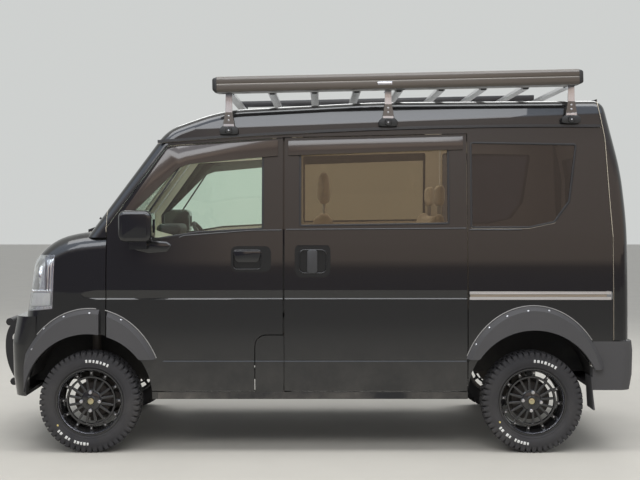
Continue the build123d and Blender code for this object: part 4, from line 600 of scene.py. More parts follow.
def rod(name, points, radius, material, closed=False, sides=3):
    """Round bar along points, made a mesh."""
    begin()
    bpy.ops.curve.primitive_nurbs_path_add(location=(0, 0, 0))
    path = bpy.context.object
    path.name = name
    line = path.data
    line.splines.clear()
    run = line.splines.new("POLY")
    run.points.add(len(points) - 1)
    for knot, point in zip(run.points, points):
        knot.co = (*point, 1)
    run.use_cyclic_u = closed
    line.dimensions = "3D"
    line.bevel_depth = radius
    line.bevel_resolution = sides
    line.use_fill_caps = True
    bpy.ops.object.convert(target="MESH")
    piece = bpy.context.object
    with edit_all():
        bpy.ops.mesh.remove_doubles(threshold=0.00002)
        bpy.ops.mesh.normals_make_consistent(inside=False)
    return painted(smooth(piece, 50), material)


front_screws = ((1.529, 0.575), (1.471, 0.682), (1.361, 0.749), (1.217, 0.770))
door_screws = ((1.047, 0.732), (0.955, 0.671), (0.885, 0.587))
rear_screws = ((-0.885, 0.598), (-0.957, 0.689), (-1.054, 0.753), (-1.167, 0.782), (-1.284, 0.782), (-1.395, 0.748),
               (-1.487, 0.681), (-1.548, 0.584))


def screws_on(name, spots, nodes):
    """Screws set square into a left flare at spots of the side view."""
    made = []
    for x, z in spots:
        hit = on_side(x, z, nodes)
        if hit:
            made.append(screw(name, hit[0], hit[1]))
    return painted(joined(name, *made), nut_steel)


def seal_line(name, x, z, long, high, start, end):
    """Thin pale rubber line where a left flare meets the body."""
    points = []
    for step in range(41):
        angle = radians(start + (end - start) * step / 40)
        px, pz = x + long * cos(angle), z + high * sin(angle)
        hit = on_side(px + 0.004 * cos(angle), pz + 0.004 * sin(angle))
        if hit:
            points.append(hit[0] + Vector((0, 0.0005, 0)))
    return rod(name, points, 0.0026, pale_rubber)


pale_rubber = grained("pale_seal_rubber", (0.33, 0.32, 0.31), 0.5, 500.0, 0.15, 0.2)
for made, right in ((screws_on("flare_screws_front", front_screws, ("wheel_flares",)), "flare_screws_front_right"),
                    (screws_on("flare_screws_rear", rear_screws, ("wheel_flares",)), "flare_screws_rear_right")):
    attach(made, "body")
    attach(to_right(made, right), "body")
made = screws_on("flare_screws_door", door_screws, ("door_fittings_left",))
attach(to_right(made, "flare_screws_door_right"), "front_door_right")
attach(made, "front_door_left")
for name, body, x, z, long, high, start, end in (
        ("flare_seal_front", "body", 1.2215, 0.310, 0.4003, 0.4783, 34, 95),
        ("flare_seal_door", "front_door_left", 1.2215, 0.310, 0.4003, 0.4783, 102, 154),
        ("flare_seal_rear", "body", -1.2025, 0.318, 0.4003, 0.4853, 26, 148)):
    made = seal_line(name, x, z, long, high, start, end)
    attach(to_right(made, name + "_right"), body.replace("left", "right"))
    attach(made, body)

# ---------------------------------------------------------------- windows and their rubbers
# Toughened glass, lightly green in front and smoked brown behind the doors, each pane
# held in a black rubber that stands a little proud of it.


def clouded(name, scale, tones, plain):
    """Clear material whose colour drifts a little between two tones."""
    made, tree, shader = finish(name, plain)
    cloud = wire(tree, "TexNoise", {"Vector": wire(tree, "TexCoord").outputs["Object"], "Scale": scale,
                                    "Detail": 4.0})
    shown(tree, shader, wire(tree, "MixRGB", {"Fac": cloud, "Color1": tones[0], "Color2": tones[1]}))
    return made


clear_glass = clouded("green_tinted_glass", 7.0, ((0.77, 0.89, 0.80, 1), (0.82, 0.92, 0.84, 1)),
                      {"Roughness": 0.0, "Transmission Weight": 1.0, "IOR": 1.5})
dress(clear_glass, "windscreen", "door_glass_left", "door_glass_right")
smoked_glass, tree, shader = finish("smoked_glass", {"Roughness": 0.0, "Transmission Weight": 1.0, "IOR": 1.5})
place = wire(tree, "TexCoord")
along = wire(tree, "SeparateXYZ", {0: place.outputs["Object"]})
behind = wire(tree, "MapRange", {"Value": along.outputs["X"], "From Min": -0.80, "From Max": -0.88}, clamp=True)
tint = wire(tree, "MixRGB", {"Fac": behind, "Color1": (0.44, 0.38, 0.28, 1), "Color2": (0.10, 0.09, 0.10, 1)})
cloud = wire(tree, "TexNoise", {"Vector": place.outputs["Object"], "Scale": 6.0, "Detail": 4.0})
haze = wire(tree, "MapRange", {"Value": cloud.outputs["Fac"], "To Min": 0.0, "To Max": 0.12}, clamp=True)
shade = wire(tree, "MixRGB", {"Fac": haze, "Color1": tint, "Color2": (0.40, 0.40, 0.40, 1)})
shown(tree, shader, shade)
dress(smoked_glass, "rear_side_glass", "tailgate_glass")
black_rubber = grained("black_rubber", (0.014, 0.014, 0.015), 0.42, 700.0, 0.15, 0.2)


def shell_of(name, node, keep):
    """Merged copy of those faces of a CAD node that are chosen by their middle and normal."""
    begin()
    mesh = cad[node].data.copy()
    piece = bpy.data.objects.new(name, mesh)
    bpy.context.scene.collection.objects.link(piece)
    work_on(piece)
    bpy.ops.mesh.customdata_custom_splitnormals_clear()
    bpy.ops.object.mode_set(mode="EDIT")
    bpy.ops.mesh.select_mode(type="FACE")
    bpy.ops.mesh.select_all(action="SELECT")
    bpy.ops.mesh.remove_doubles(threshold=0.00001)
    bpy.ops.mesh.select_all(action="DESELECT")
    bpy.ops.object.mode_set(mode="OBJECT")
    for face in mesh.polygons:
        face.select = not keep(face.center, face.normal)
    bpy.ops.object.mode_set(mode="EDIT")
    bpy.ops.mesh.delete(type="FACE")
    bpy.ops.object.mode_set(mode="OBJECT")
    return piece


def thickened(piece, thickness, side=1):
    """Wall on an open sheet, towards its normals where side is 1."""
    work_on(piece)
    bpy.ops.object.modifier_add(type="SOLIDIFY")
    wall = piece.modifiers[-1]
    wall.thickness = thickness
    wall.offset = side
    bpy.ops.object.modifier_apply(modifier=wall.name)
    return piece


def window_rubber(name, node, keep, width=0.011, stand=0.0055, flat=True):
    """Rubber ring on the outer edge of a pane."""
    ring = shell_of(name, node, keep)
    with edit_all():
        if flat:
            bpy.ops.mesh.dissolve_limited(angle_limit=radians(1.5))
            bpy.ops.mesh.select_all(action="SELECT")
        bpy.ops.mesh.inset(thickness=width, depth=0)
        bpy.ops.mesh.delete(type="FACE")
    return painted(eased(thickened(ring, stand), 0.0015, 2, 50), black_rubber)


def outward(spot, normal):
    """The outer face of a side pane."""
    return abs(normal.y) > 0.9 and normal.y * spot.y > 0


for name, node, body in (("door_window_rubber_left", "door_glass_left", "front_door_left"),
                         ("door_window_rubber_right", "door_glass_right", "front_door_right"),
                         ("side_window_rubbers", "rear_side_glass", "body")):
    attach(window_rubber(name, node, outward), body)
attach(window_rubber("windscreen_rubber", "windscreen", lambda spot,
                              normal: normal.x > 0.3 and normal.z > 0.2,
                              0.016, 0.006, False), "body")
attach(window_rubber("tailgate_window_rubber", "tailgate_glass", lambda spot, normal: normal.x < -0.5,
                              0.014, 0.0055, False), "tailgate")


def side_plane(z):
    """Distance of the flat window side from the middle at a height."""
    return 0.7182 - (z - 1.224) * 0.07519


def plate(name, points, y_from, y_to):
    """Outline in the side view made a plate between two distances from the middle."""
    begin()
    bpy.ops.mesh.primitive_circle_add(vertices=len(points), fill_type="NGON")
    piece = bpy.context.object
    piece.name = name
    for vertex, (x, z) in zip(piece.data.vertices, points):
        vertex.co = (x, y_from, z)
    with edit_all():
        bpy.ops.mesh.extrude_region_move(TRANSFORM_OT_translate={"value": (0, y_to - y_from, 0)})
        bpy.ops.mesh.select_all(action="SELECT")
        bpy.ops.mesh.normals_make_consistent(inside=False)
    return piece


def leaned(piece):
    """A flat plate moved onto the lean of the window side; its y so far is the height over that face."""
    for vertex in piece.data.vertices:
        vertex.co.y += side_plane(vertex.co.z)
    return piece


bar = leaned(plate("vent_bar", [(0.737, 1.574), (0.725, 1.574), (0.897, 1.318), (0.909, 1.318)], -0.005, 0.0005))
made = painted(eased(bar, 0.0015), black_rubber)
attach(to_right(made, "vent_bar_right"), "front_door_right")
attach(made, "front_door_left")

# ---------------------------------------------------------------- inner linings
# Beige moulded trim and a woven headliner over the inside of the shell, doors, pillars
# and tailgate, clipped on a few millimetres off the steel.
beige_trim = grained("beige_trim", (0.56, 0.50, 0.40), 0.62, 1000.0, 0.35, 0.12)
headliner = grained("headliner_cloth", (0.64, 0.60, 0.52), 0.85, 2200.0, 0.6, 0.08, {"Sheen Weight": 0.2})


def lining(name, node, keep, material, stand=0.0015, thickness=0.0025):
    """Trim over the chosen inner faces of a body panel."""
    sheet = shell_of(name, node, keep)
    with edit_all():
        bpy.ops.transform.shrink_fatten(value=-stand)
    return painted(smooth(thickened(sheet, thickness), 40), material)


for side, sign in (("left", 1), ("right", -1)):
    def inner(spot, normal, sign=sign):
        return normal.y * sign < -0.55 and abs(spot.y) > 0.55 and spot.z > 0.42

    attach(lining("door_card_" + side, "front_door_" + side, inner, beige_trim), "front_door_" + side)
    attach(lining("sliding_door_lining_" + side, "sliding_door_" + side, inner, beige_trim), "body")
    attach(lining("side_lining_" + side, "side_frame_" + side,
                           lambda spot, normal,
                           sign=sign: (normal.y * sign < -0.3 and abs(spot.y) > 0.5 and spot.z > 0.66)
                           or (normal.z > 0.6 and spot.z > 1.15), beige_trim), "body")
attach(lining("headliner", "roof_panel", lambda spot, normal: normal.z < -0.25 and abs(spot.y) < 0.64,
                       headliner),
                "body")
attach(lining("tailgate_lining", "tailgate", lambda spot, normal: normal.x > 0.55 and spot.x > -1.69,
                       beige_trim),
                "tailgate")
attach(lining("pillar_trim", "front_body", lambda spot, normal: spot.z > 1.2 and spot.x < 1.25 and
                       (normal.x < -0.3 or normal.z < -0.5 or (normal.y * spot.y < 0 and abs(spot.y) < 0.69)),
                       beige_trim),
                "body")

# ---------------------------------------------------------------- dashboard and steering wheel
# Two-tone moulded dashboard with a hooded dial, vents and a radio bay; the wheel is a
# foam-covered ring on three spokes with a padded boss.
dress(beige_trim, "dashboard")
dark_trim = grained("dark_trim", (0.035, 0.034, 0.034), 0.55, 1000.0, 0.35, 0.15)
dress(dark_trim, "steering_wheel")
hood = eased(block("dial_hood", (0.845, -0.52, 1.165), (1.00, -0.18, 1.235)), 0.028, 4)
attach(painted(hood, dark_trim), "body")
fascia = eased(block("centre_fascia", (0.842, -0.14, 0.93), (0.905, 0.14, 1.15)), 0.012, 3)
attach(painted(fascia, dark_trim), "body")
vents = []
for y in (-0.60, -0.075, 0.075, 0.60):
    ring = turned("vent_ring", [(0.030, 0.0), (0.040, 0.0), (0.041, 0.012), (0.036, 0.016), (0.031, 0.010)], 32)
    vents.append(smooth(shifted(ring, (0.845, y, 1.105), (0, 0, pi / 2))))
    for level in (-0.016, 0.0, 0.016):
        vents.append(eased(block("vent_blade", (0.838, y - 0.029, 1.105 + level - 0.0015),
                                 (0.852, y + 0.029, 1.105 + level + 0.0015)), 0.0008, 1))
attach(painted(joined("dash_vents", *vents), dark_trim), "body")
boss = eased(block("wheel_boss", (-0.062, -0.055, -0.010), (0.062, 0.055, 0.014)), 0.012, 3)
for vertex in boss.data.vertices:
    vertex.co.x *= 1.0 - 2.2 * max(0.0, -vertex.co.y)
column = Vector((-cos(radians(35)), 0, sin(radians(35))))
boss = shifted(boss, (0.6675, -0.35, 1.100), column.to_track_quat("Z", "Y").to_euler())
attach(painted(boss, dark_trim), "steering_wheel")

# ---------------------------------------------------------------- seats
# Foam seats in woven beige cloth with piped edges and sewn channels: two in front on the
# engine box, each with its own head rest, and a folding bench behind.
seat_cloth, tree, shader = finish("seat_cloth", {"Sheen Weight": 0.35, "Sheen Roughness": 0.5,
                                                 "Specular IOR Level": 0.2})
place = wire(tree, "TexCoord")
weft = wire(tree, "TexWave", {"Vector": place.outputs["Object"], "Scale": 420.0, "Distortion": 1.2, "Detail": 1.0},
            bands_direction="Y")
warp = wire(tree, "TexWave", {"Vector": place.outputs["Object"], "Scale": 420.0, "Distortion": 1.2, "Detail": 1.0},
            bands_direction="Z")
weave = wire(tree, "Math", {0: weft.outputs["Fac"], 1: warp.outputs["Fac"]}, operation="ADD")
worn = wire(tree, "TexNoise", {"Vector": place.outputs["Object"], "Scale": 9.0, "Detail": 6.0})
shade = wire(tree, "MixRGB", {"Fac": worn.outputs["Fac"], "Color1": (0.52, 0.44, 0.32, 1),
                              "Color2": (0.66, 0.57, 0.44, 1)})
raised = wire(tree, "Bump", {"Height": weave, "Strength": 0.35, "Distance": 0.0008})
dry = wire(tree, "MapRange", {"Value": weave, "To Min": 0.95, "To Max": 0.8}, clamp=True)
shown(tree, shader, shade, dry, raised)


def cushion(name, outline, half_width, middle_y, voxel, cap, channels=(), pressure=4.0):
    """Stuffed form from a side outline: rounded, remeshed, blown up as cloth, then sewn along its channels."""
    form = eased(plate(name, outline, -half_width, half_width), 0.035, 4, 30)
    shifted(form, (0, middle_y, 0))
    form.data.remesh_voxel_size = voxel
    bpy.ops.object.voxel_remesh()
    before = [vertex.co.copy() for vertex in form.data.vertices]
    bpy.ops.object.modifier_add(type="CLOTH")
    cloth = form.modifiers[-1]
    cloth.settings.quality = 4
    cloth.settings.use_pressure = True
    cloth.settings.uniform_pressure_force = pressure
    cloth.settings.effector_weights.gravity = 0
    cloth.settings.tension_stiffness = 15
    cloth.point_cache.frame_start = 1
    cloth.point_cache.frame_end = 20
    for step in range(1, 21):
        bpy.context.scene.frame_set(step)
    bpy.ops.object.modifier_apply(modifier=cloth.name)
    bpy.context.scene.frame_set(1)
    for vertex, rest in zip(form.data.vertices, before):
        moved = vertex.co - rest
        if moved.length > cap:
            vertex.co = rest + moved * (cap / moved.length)
    for vertex in form.data.vertices:
        for across in channels:
            near = abs(vertex.co.y - middle_y - across)
            if near < 0.016:
                vertex.co -= vertex.normal * 0.007 * (1 - near / 0.016) ** 2
    bpy.ops.object.modifier_add(type="SUBSURF")
    form.modifiers[-1].levels = 1
    form.modifiers[-1].render_levels = 1
    bpy.ops.object.modifier_apply(modifier=form.modifiers[-1].name)
    return painted(smooth(form, 180), seat_cloth)


cushion_side = [(-0.045, 0.780), (0.395, 0.780), (0.405, 0.845), (0.395, 0.868), (0.10, 0.850), (-0.045, 0.850)]
back_side = [(-0.060, 0.885), (0.045, 0.868), (0.020, 1.000), (-0.028, 1.325), (-0.092, 1.325), (-0.085, 1.080)]
rest_side = [(-0.088, 1.362), (-0.032, 1.362), (-0.036, 1.545), (-0.078, 1.548)]
front_cushion = cushion("seat_cushion_left", cushion_side, 0.205, 0.35, 0.011, 0.022, (-0.115, 0.115))
front_back = cushion("seat_back_left", back_side, 0.205, 0.35, 0.011, 0.022, (-0.115, 0.115))
front_rest = cushion("head_rest_left", rest_side, 0.105, 0.35, 0.008, 0.012)
for piece, fill, name in ((front_cushion, 0.7, "seat_cushion_right"), (front_back, 0.7, "seat_back_right"),
                          (front_rest, 0.8, "head_rest_right")):
    other = twin(piece, name, (0, 0, 0), (0, -0.70, 0))
    for made in (piece, other):
        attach(made, "body")
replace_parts(front_back, "front_seats")
rear_cushion = cushion("bench_cushion", [(-0.655, 0.690), (-0.230, 0.690), (-0.222, 0.845), (-0.555, 0.855),
                                         (-0.650, 0.840)],
                       0.485, 0.0, 0.014, 0.024, (-0.30, -0.02, 0.02, 0.30))
rear_back = cushion("bench_back", [(-0.735, 0.900), (-0.600, 0.890), (-0.690, 1.310), (-0.745, 1.310)],
                    0.485, 0.0, 0.014, 0.020, (-0.30, -0.02, 0.02, 0.30))
rear_rest = cushion("bench_head_rest_left", [(-0.755, 1.350), (-0.718, 1.350), (-0.722, 1.470), (-0.752, 1.475)],
                    0.100, 0.29, 0.008, 0.010)
rest_two = twin(rear_rest, "bench_head_rest_right", (0, 0, 0), (0, -0.58, 0))
for made in (rear_cushion, rear_back, rear_rest, rest_two):
    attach(made, "body")
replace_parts(rear_back, "rear_seat")
posts = []
for y in (0.35, -0.35):
    for across in (-0.055, 0.055):
        posts.append(rod("rest_post", [(-0.060, y + across, 1.30), (-0.060, y + across, 1.38)], 0.006, nut_steel))
    posts.append(eased(painted(block("seat_frame", (-0.05, y - 0.19, 0.7605), (0.40, y + 0.19, 0.792)), dark_trim),
                       0.006, 2))
    posts.append(eased(painted(block("seat_side", (-0.05, y - 0.236, 0.79), (0.03, y - 0.216, 0.90)), dark_trim),
                       0.008, 2))
    posts.append(eased(painted(block("seat_side", (-0.05, y + 0.216, 0.79), (0.03, y + 0.236, 0.90)), dark_trim),
                       0.008, 2))
for y in (0.29, -0.29):
    for across in (-0.05, 0.05):
        posts.append(rod("rest_post", [(-0.737, y + across, 1.29), (-0.737, y + across, 1.36)], 0.006, nut_steel))
posts.append(eased(painted(block("bench_frame", (-0.66, -0.50, 0.652), (-0.24, 0.50, 0.690)), dark_trim), 0.006, 2))
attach(joined("seat_frames", *posts), "body")

# ---------------------------------------------------------------- door fittings
# Each front door carries a gloss black mirror on its foot, the hind part of the arch
# flare, a smoked visor over the window and a pull handle in a round-cornered bowl.
visor_smoke = grained("visor_smoke", (0.060, 0.047, 0.040), 0.16, 300.0, 0.03, 0.25,
                      {"Coat Weight": 0.5, "Coat Roughness": 0.03, "Specular IOR Level": 0.4})
gloss_plastic = grained("gloss_black_plastic", (0.010, 0.010, 0.011), 0.10, 400.0, 0.03, 0.2, {"Coat Weight": 0.4})
mirror_face = grained("mirror_silvering", (0.80, 0.82, 0.83), 0.03, 200.0, 0.005, 0.03, {"Metallic": 1.0})


def islands(name, node):
    """The loose solids of a CAD node as separate merged pieces."""
    whole = shell_of(name, node, lambda spot, normal: True)
    work_on(whole)
    bpy.ops.mesh.separate(type="LOOSE")
    return list(bpy.context.selected_objects)


def centre(piece):
    """Middle of the box round a piece."""
    spots = [vertex.co for vertex in piece.data.vertices]
    return (Vector([min(s[i] for s in spots) for i in range(3)]) + Vector([max(s[i] for s in spots) for i in range(3)])) / 2


def rounded_points(x0, x1, z0, z1, radius, steps=6):
    """Corner-rounded rectangle in the side view."""
    points = []
    for cx, cz, start in ((x1 - radius, z1 - radius, 0), (x0 + radius, z1 - radius, 90),
                          (x0 + radius, z0 + radius, 180),
                          (x1 - radius, z0 + radius, 270)):
        for step in range(steps + 1):
            angle = radians(start + 90 * step / steps)
            points.append((cx + radius * cos(angle), cz + radius * sin(angle)))
    return points


def bezel(name, limits, radius, width, y_from, y_to, material):
    """Round-cornered ring in the side view, with eased edges."""
    begin()
    points = rounded_points(*limits, radius)
    bpy.ops.mesh.primitive_circle_add(vertices=len(points), fill_type="NGON")
    ring = bpy.context.object
    ring.name = name
    for vertex, (x, z) in zip(ring.data.vertices, points):
        vertex.co = (x, y_from, z)
    bpy.ops.object.mode_set(mode="EDIT")
    bpy.ops.mesh.select_mode(type="FACE")
    bpy.ops.mesh.select_all(action="SELECT")
    bpy.ops.mesh.inset(thickness=width, depth=0)
    bpy.ops.mesh.delete(type="FACE")
    bpy.ops.mesh.select_all(action="SELECT")
    bpy.ops.mesh.extrude_region_move(TRANSFORM_OT_translate={"value": (0, y_to - y_from, 0)})
    bpy.ops.mesh.select_all(action="SELECT")
    bpy.ops.mesh.normals_make_consistent(inside=False)
    bpy.ops.object.mode_set(mode="OBJECT")
    return painted(eased(ring, min(0.0025, width / 3), 2, 45), material)


for side in ("left", "right"):
    door = "front_door_" + side
    for part in islands("door_part_" + side, "door_fittings_" + side):
        spot = centre(part)
        if spot.z > 1.42:
            part.name = "window_visor_" + side
            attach(painted(eased(part, 0.003, 2), visor_smoke), door)
        elif spot.z < 0.95:
            part.name = "door_flare_" + side
            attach(painted(smooth(part, 40), flare_plastic), door)
            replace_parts(part, "door_fittings_" + side)
        elif spot.z < 1.12 and spot.x < 0.5:
            bpy.data.objects.remove(part)
        else:
            part.name = "door_mirror_" + side
            painted(part, gloss_plastic)
            part.data.materials.append(mirror_face)
            work_on(part)
            bpy.ops.object.mode_set(mode="EDIT")
            bpy.ops.mesh.select_mode(type="FACE")
            bpy.ops.mesh.select_all(action="SELECT")
            bpy.ops.mesh.dissolve_limited(angle_limit=radians(0.5))
            bpy.ops.mesh.select_all(action="DESELECT")
            bpy.ops.object.mode_set(mode="OBJECT")
            back = [face for face in part.data.polygons if face.normal.x < -0.98 and face.center.z > 1.15 and face.area > 0.004]
            for face in back:
                face.select = True
            bpy.ops.object.mode_set(mode="EDIT")
            bpy.ops.mesh.inset(thickness=0.010, depth=0)
            bpy.ops.mesh.extrude_region_move(TRANSFORM_OT_translate={"value": (0.007, 0, 0)})
            bpy.context.object.active_material_index = 1
            bpy.ops.object.material_slot_assign()
            bpy.ops.object.mode_set(mode="OBJECT")
            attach(smooth(part, 32), door)

foot = plate("mirror_sail", [(0.985, 1.150), (0.955, 1.168), (0.800, 1.158), (0.772, 1.135), (0.800, 1.098),
                             (0.900, 1.090), (0.975, 1.108)], 0.704, 0.733)
foot = painted(eased(foot, 0.010, 3, 30), gloss_plastic)
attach(to_right(foot, "mirror_sail_right"), "front_door_right")
foot.name = "mirror_sail_left"
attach(foot, "front_door_left")

skin_y = 0.7282
grip = plate("pull_grip", [(0.291, 1.108), (0.434, 1.108), (0.437, 1.090), (0.425, 1.050), (0.412, 1.043),
                           (0.313, 1.043), (0.300, 1.050), (0.288, 1.090)],
             skin_y - 0.006, skin_y + 0.0035)
grip = painted(eased(grip, 0.0035, 3), gloss_plastic)
ring = bezel("bowl_ring", (0.2835, 0.4415, 1.0035, 1.1135), 0.023, 0.005, skin_y - 0.006, skin_y + 0.0005,
             gloss_plastic)
handle = joined("pull_handle_left", grip, ring)
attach(to_right(handle, "pull_handle_right"), "front_door_right")
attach(handle, "front_door_left")

# ---------------------------------------------------------------- sliding door fittings
# A smoked visor, an upright pull grip across a round bowl and, behind the door, the slide
# rail under its bright cover with a tan strip and a grey end piece.
for part in islands("slide_part", "slide_door_trim"):
    spot = centre(part)
    side = "left" if spot.y > 0 else "right"
    if spot.z > 1.3:
        part.name = "slide_visor_" + side
        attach(painted(eased(part, 0.003, 2), visor_smoke), "body")
        if side == "left":
            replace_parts(part, "slide_door_trim")
    else:
        bpy.data.objects.remove(part)
grip = plate("upright_grip", rounded_points(-0.022, 0.035, 0.9835, 1.1125, 0.016), skin_y - 0.008, skin_y + 0.0055)
grip = painted(eased(grip, 0.004, 3), grained("grip_plastic", (0.040, 0.040, 0.042), 0.5, 900.0, 0.3, 0.1))
ring = bezel("slide_bowl_ring", (-0.0735, 0.0805, 0.9815, 1.1145), 0.031, 0.006, skin_y - 0.006, skin_y + 0.0008,
             gloss_plastic)
handle = joined("slide_handle_left", grip, ring)
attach(to_right(handle, "slide_handle_right"), "body")
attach(handle, "body")


def streaked(name, stretch, detail, tones, gloss, plain, depth=0.0):
    """Material with fine streaks along the van, raised a little where a depth is given."""
    made, tree, shader = finish(name, plain)
    along = wire(tree, "Mapping", {"Vector": wire(tree, "TexCoord").outputs["Object"], "Scale": stretch})
    brush = wire(tree, "TexNoise", {"Vector": along, "Scale": 1.0, "Detail": detail})
    shade = wire(tree, "MixRGB", {"Fac": brush, "Color1": tones[0], "Color2": tones[1]})
    satin = wire(tree, "MapRange", {"Value": brush, "To Min": gloss[0], "To Max": gloss[1]})
    line = wire(tree, "Bump", {"Height": brush, "Strength": 0.08, "Distance": depth}) if depth else None
    shown(tree, shader, shade, satin, line)
    return made


bright_trim = streaked("bright_aluminium_trim", (3.0, 600.0, 600.0), 3.0,
                       ((0.66, 0.66, 0.66, 1), (0.84, 0.84, 0.85, 1)),
                       (0.18, 0.42), {"Metallic": 1.0}, 0.0004)
dress(bright_trim, "slide_rails", "rack_crossbars")
tan_strip = painted(eased(plate("rail_strip", [(-0.856, 0.8555), (-0.856, 0.8695), (-1.620, 0.8695),
                                               (-1.620, 0.8555)], 0.729, 0.7392), 0.001, 1),
                    grained("tan_strip", (0.30, 0.25, 0.19), 0.4, 500.0, 0.1, 0.2))
rail_end = painted(eased(plate("rail_end", [(-1.600, 0.838), (-1.600, 0.888), (-1.632, 0.884), (-1.634, 0.842)],
                               0.727, 0.7415), 0.004, 3),
                   grained("grey_plastic", (0.20, 0.20, 0.20), 0.5, 800.0, 0.3, 0.1))
made = joined("rail_cover_left", tan_strip, rail_end)
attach(to_right(made, "rail_cover_right"), "body")
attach(made, "body")

# ---------------------------------------------------------------- waist ridges and sills
# A narrow ridge in body colour runs under the windows. The sills under the doors get a
# thin plate in the matt black underbody coat, partly the sills' own black and partly painted shade from under the
# body.


def ridge(name, points):
    """Half-round ridge laid on the left side through spots of the side view."""
    spots = []
    for (x0, z0), (x1, z1) in zip(points, points[1:]):
        for step in range(13):
            x, z = x0 + (x1 - x0) * step / 12, z0 + (z1 - z0) * step / 12
            hit = on_side(x, z)
            if hit and (not spots or (hit[0] - spots[-1]).length > 0.001):
                spots.append(hit[0] + Vector((0, -0.001, 0)))
    return rod(name, spots, 0.0045, black_paint)


for name, body, points in (("waist_ridge_door", "front_door_left", [(0.735, 1.178), (0.660, 1.210), (0.560, 1.216),
                                                            (0.175, 1.219)]),
                           ("waist_ridge_slide", "body", [(0.150, 1.222), (-0.835, 1.229)]),
                           ("waist_ridge_rear", "body", [(-0.855, 1.221), (-1.140, 1.222)])):
    made = ridge(name, points)
    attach(to_right(made, name + "_right"), body.replace("left", "right"))
    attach(made, body)
# painted shade: the matt black sill plate also stands in for the shadow that falls under the body
hit = on_side(0.0, 0.315)
sill = painted(eased(plate("sill_cover_left", [(0.850, 0.333), (0.850, 0.299), (-0.838, 0.299), (-0.838, 0.333)],
                           hit[0].y - 0.001, hit[0].y + 0.0015), 0.001, 1), under_coat)
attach(to_right(sill, "sill_cover_right"), "body")
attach(sill, "body")

# ---------------------------------------------------------------- gutters, rack and awning
# Steel gutters in satin black; a rack of flat aluminium bars and black side rails on six
# plated legs that clamp to the gutters; an awning in its long aluminium case.
satin_black = grained("satin_black", (0.016, 0.016, 0.017), 0.38, 600.0, 0.12, 0.3)
dress(satin_black, "rain_gutters", "tailgate_bracket", "front_guard", "cowl_and_wipers")
leg_steel = grained("leg_steel", (0.62, 0.63, 0.66), 0.28, 300.0, 0.06, 0.25, {"Metallic": 1.0})
clamp_black = grained("clamp_black", (0.020, 0.020, 0.020), 0.5, 800.0, 0.3, 0.2)
shoe_steel = grained("leg_shoe", (0.16, 0.15, 0.14), 0.35, 300.0, 0.1, 0.3, {"Metallic": 1.0})
bars_z, bars_middle_x, bars_rise = 1.990, -0.4755, 0.02182


def above_bars(spot, normal):
    """The side rails and their posts, over the crossbars' underside."""
    return abs(spot.y) < 0.6375 and spot.z > bars_z + (bars_middle_x - spot.x) * bars_rise + 0.001


rails = shell_of("rack_side_rails", "roof_rack", above_bars)
with edit_all():
    bpy.ops.mesh.fill_holes(sides=0)
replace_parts(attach(painted(eased(rails, 0.003, 2), satin_black), "body"), "roof_rack")
leg_y = 0.6987
for number, (x, foot_z, top_z) in enumerate(((0.4645, 1.7438, 1.9690), (-0.4105, 1.7879, 1.9882),
                                             (-1.4155, 1.8047, 2.0101))):
    upper = plate("leg_upper", [(x + 0.020, foot_z + 0.115), (x + 0.018, top_z), (x - 0.018, top_z),
                                (x - 0.020, foot_z + 0.115)], leg_y, leg_y + 0.0045)
    upper = painted(eased(upper, 0.0012, 1), leg_steel)
    shelf = painted(eased(block("leg_shelf", (x - 0.018, 0.590, top_z - 0.005),
                                (x + 0.018, leg_y + 0.0045, top_z - 0.0005)), 0.001, 1), leg_steel)
    lower = plate("leg_lower", [(x + 0.020, foot_z + 0.122), (x - 0.020, foot_z + 0.122), (x - 0.036, foot_z + 0.030),
                                (x + 0.036, foot_z + 0.030)], leg_y + 0.0045, leg_y + 0.0085)
    lower = painted(eased(lower, 0.0012, 1), shoe_steel)
    strap = painted(eased(block("leg_strap", (x - 0.029, leg_y + 0.0085, foot_z + 0.044),
                                (x + 0.029, leg_y + 0.0115, foot_z + 0.058)), 0.0012, 1), leg_steel)
    jaw = plate("leg_jaw", [(x - 0.036, foot_z + 0.046), (x + 0.036, foot_z + 0.046), (x + 0.052, foot_z + 0.030),
                            (x + 0.050, foot_z + 0.004),
                            (x + 0.030, foot_z + 0.0005), (x - 0.030, foot_z + 0.0005), (x - 0.050, foot_z + 0.004),
                            (x - 0.052, foot_z + 0.030)],
                leg_y - 0.024, leg_y + 0.0105)
    jaw = painted(eased(jaw, 0.003, 2), clamp_black)
    knob = turned("leg_knob", [(0.0, 0.0), (0.019, 0.0), (0.020, 0.003), (0.016, 0.009), (0.007, 0.0095),
                               (0.006, 0.007), (0.0, 0.007)], 24)
    for vertex in knob.data.vertices:
        vertex.co *= 1.0 + 0.10 * cos(6 * atan2(vertex.co.x, vertex.co.z)) * (1 if vertex.co.y < 0.008 else 0)
    knob = painted(smooth(shifted(knob, (x, leg_y + 0.0100, foot_z + 0.022))), clamp_black)
    bolts = [painted(screw("leg_bolt", (x, leg_y + 0.0085, foot_z + high), (0, 1, 0), 0.0062),
                     nut_steel) for high in (0.078, 0.102)]
    bolts.append(painted(screw("leg_bolt", (x, leg_y + 0.0190, foot_z + 0.022), (0, 1, 0), 0.0050), nut_steel))
    leg = joined("rack_leg_left_%d" % (number + 1), upper, shelf, lower, strap, jaw, knob, *bolts)
    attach(to_right(leg, "rack_leg_right_%d" % (number + 1)), "body")
    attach(leg, "body")

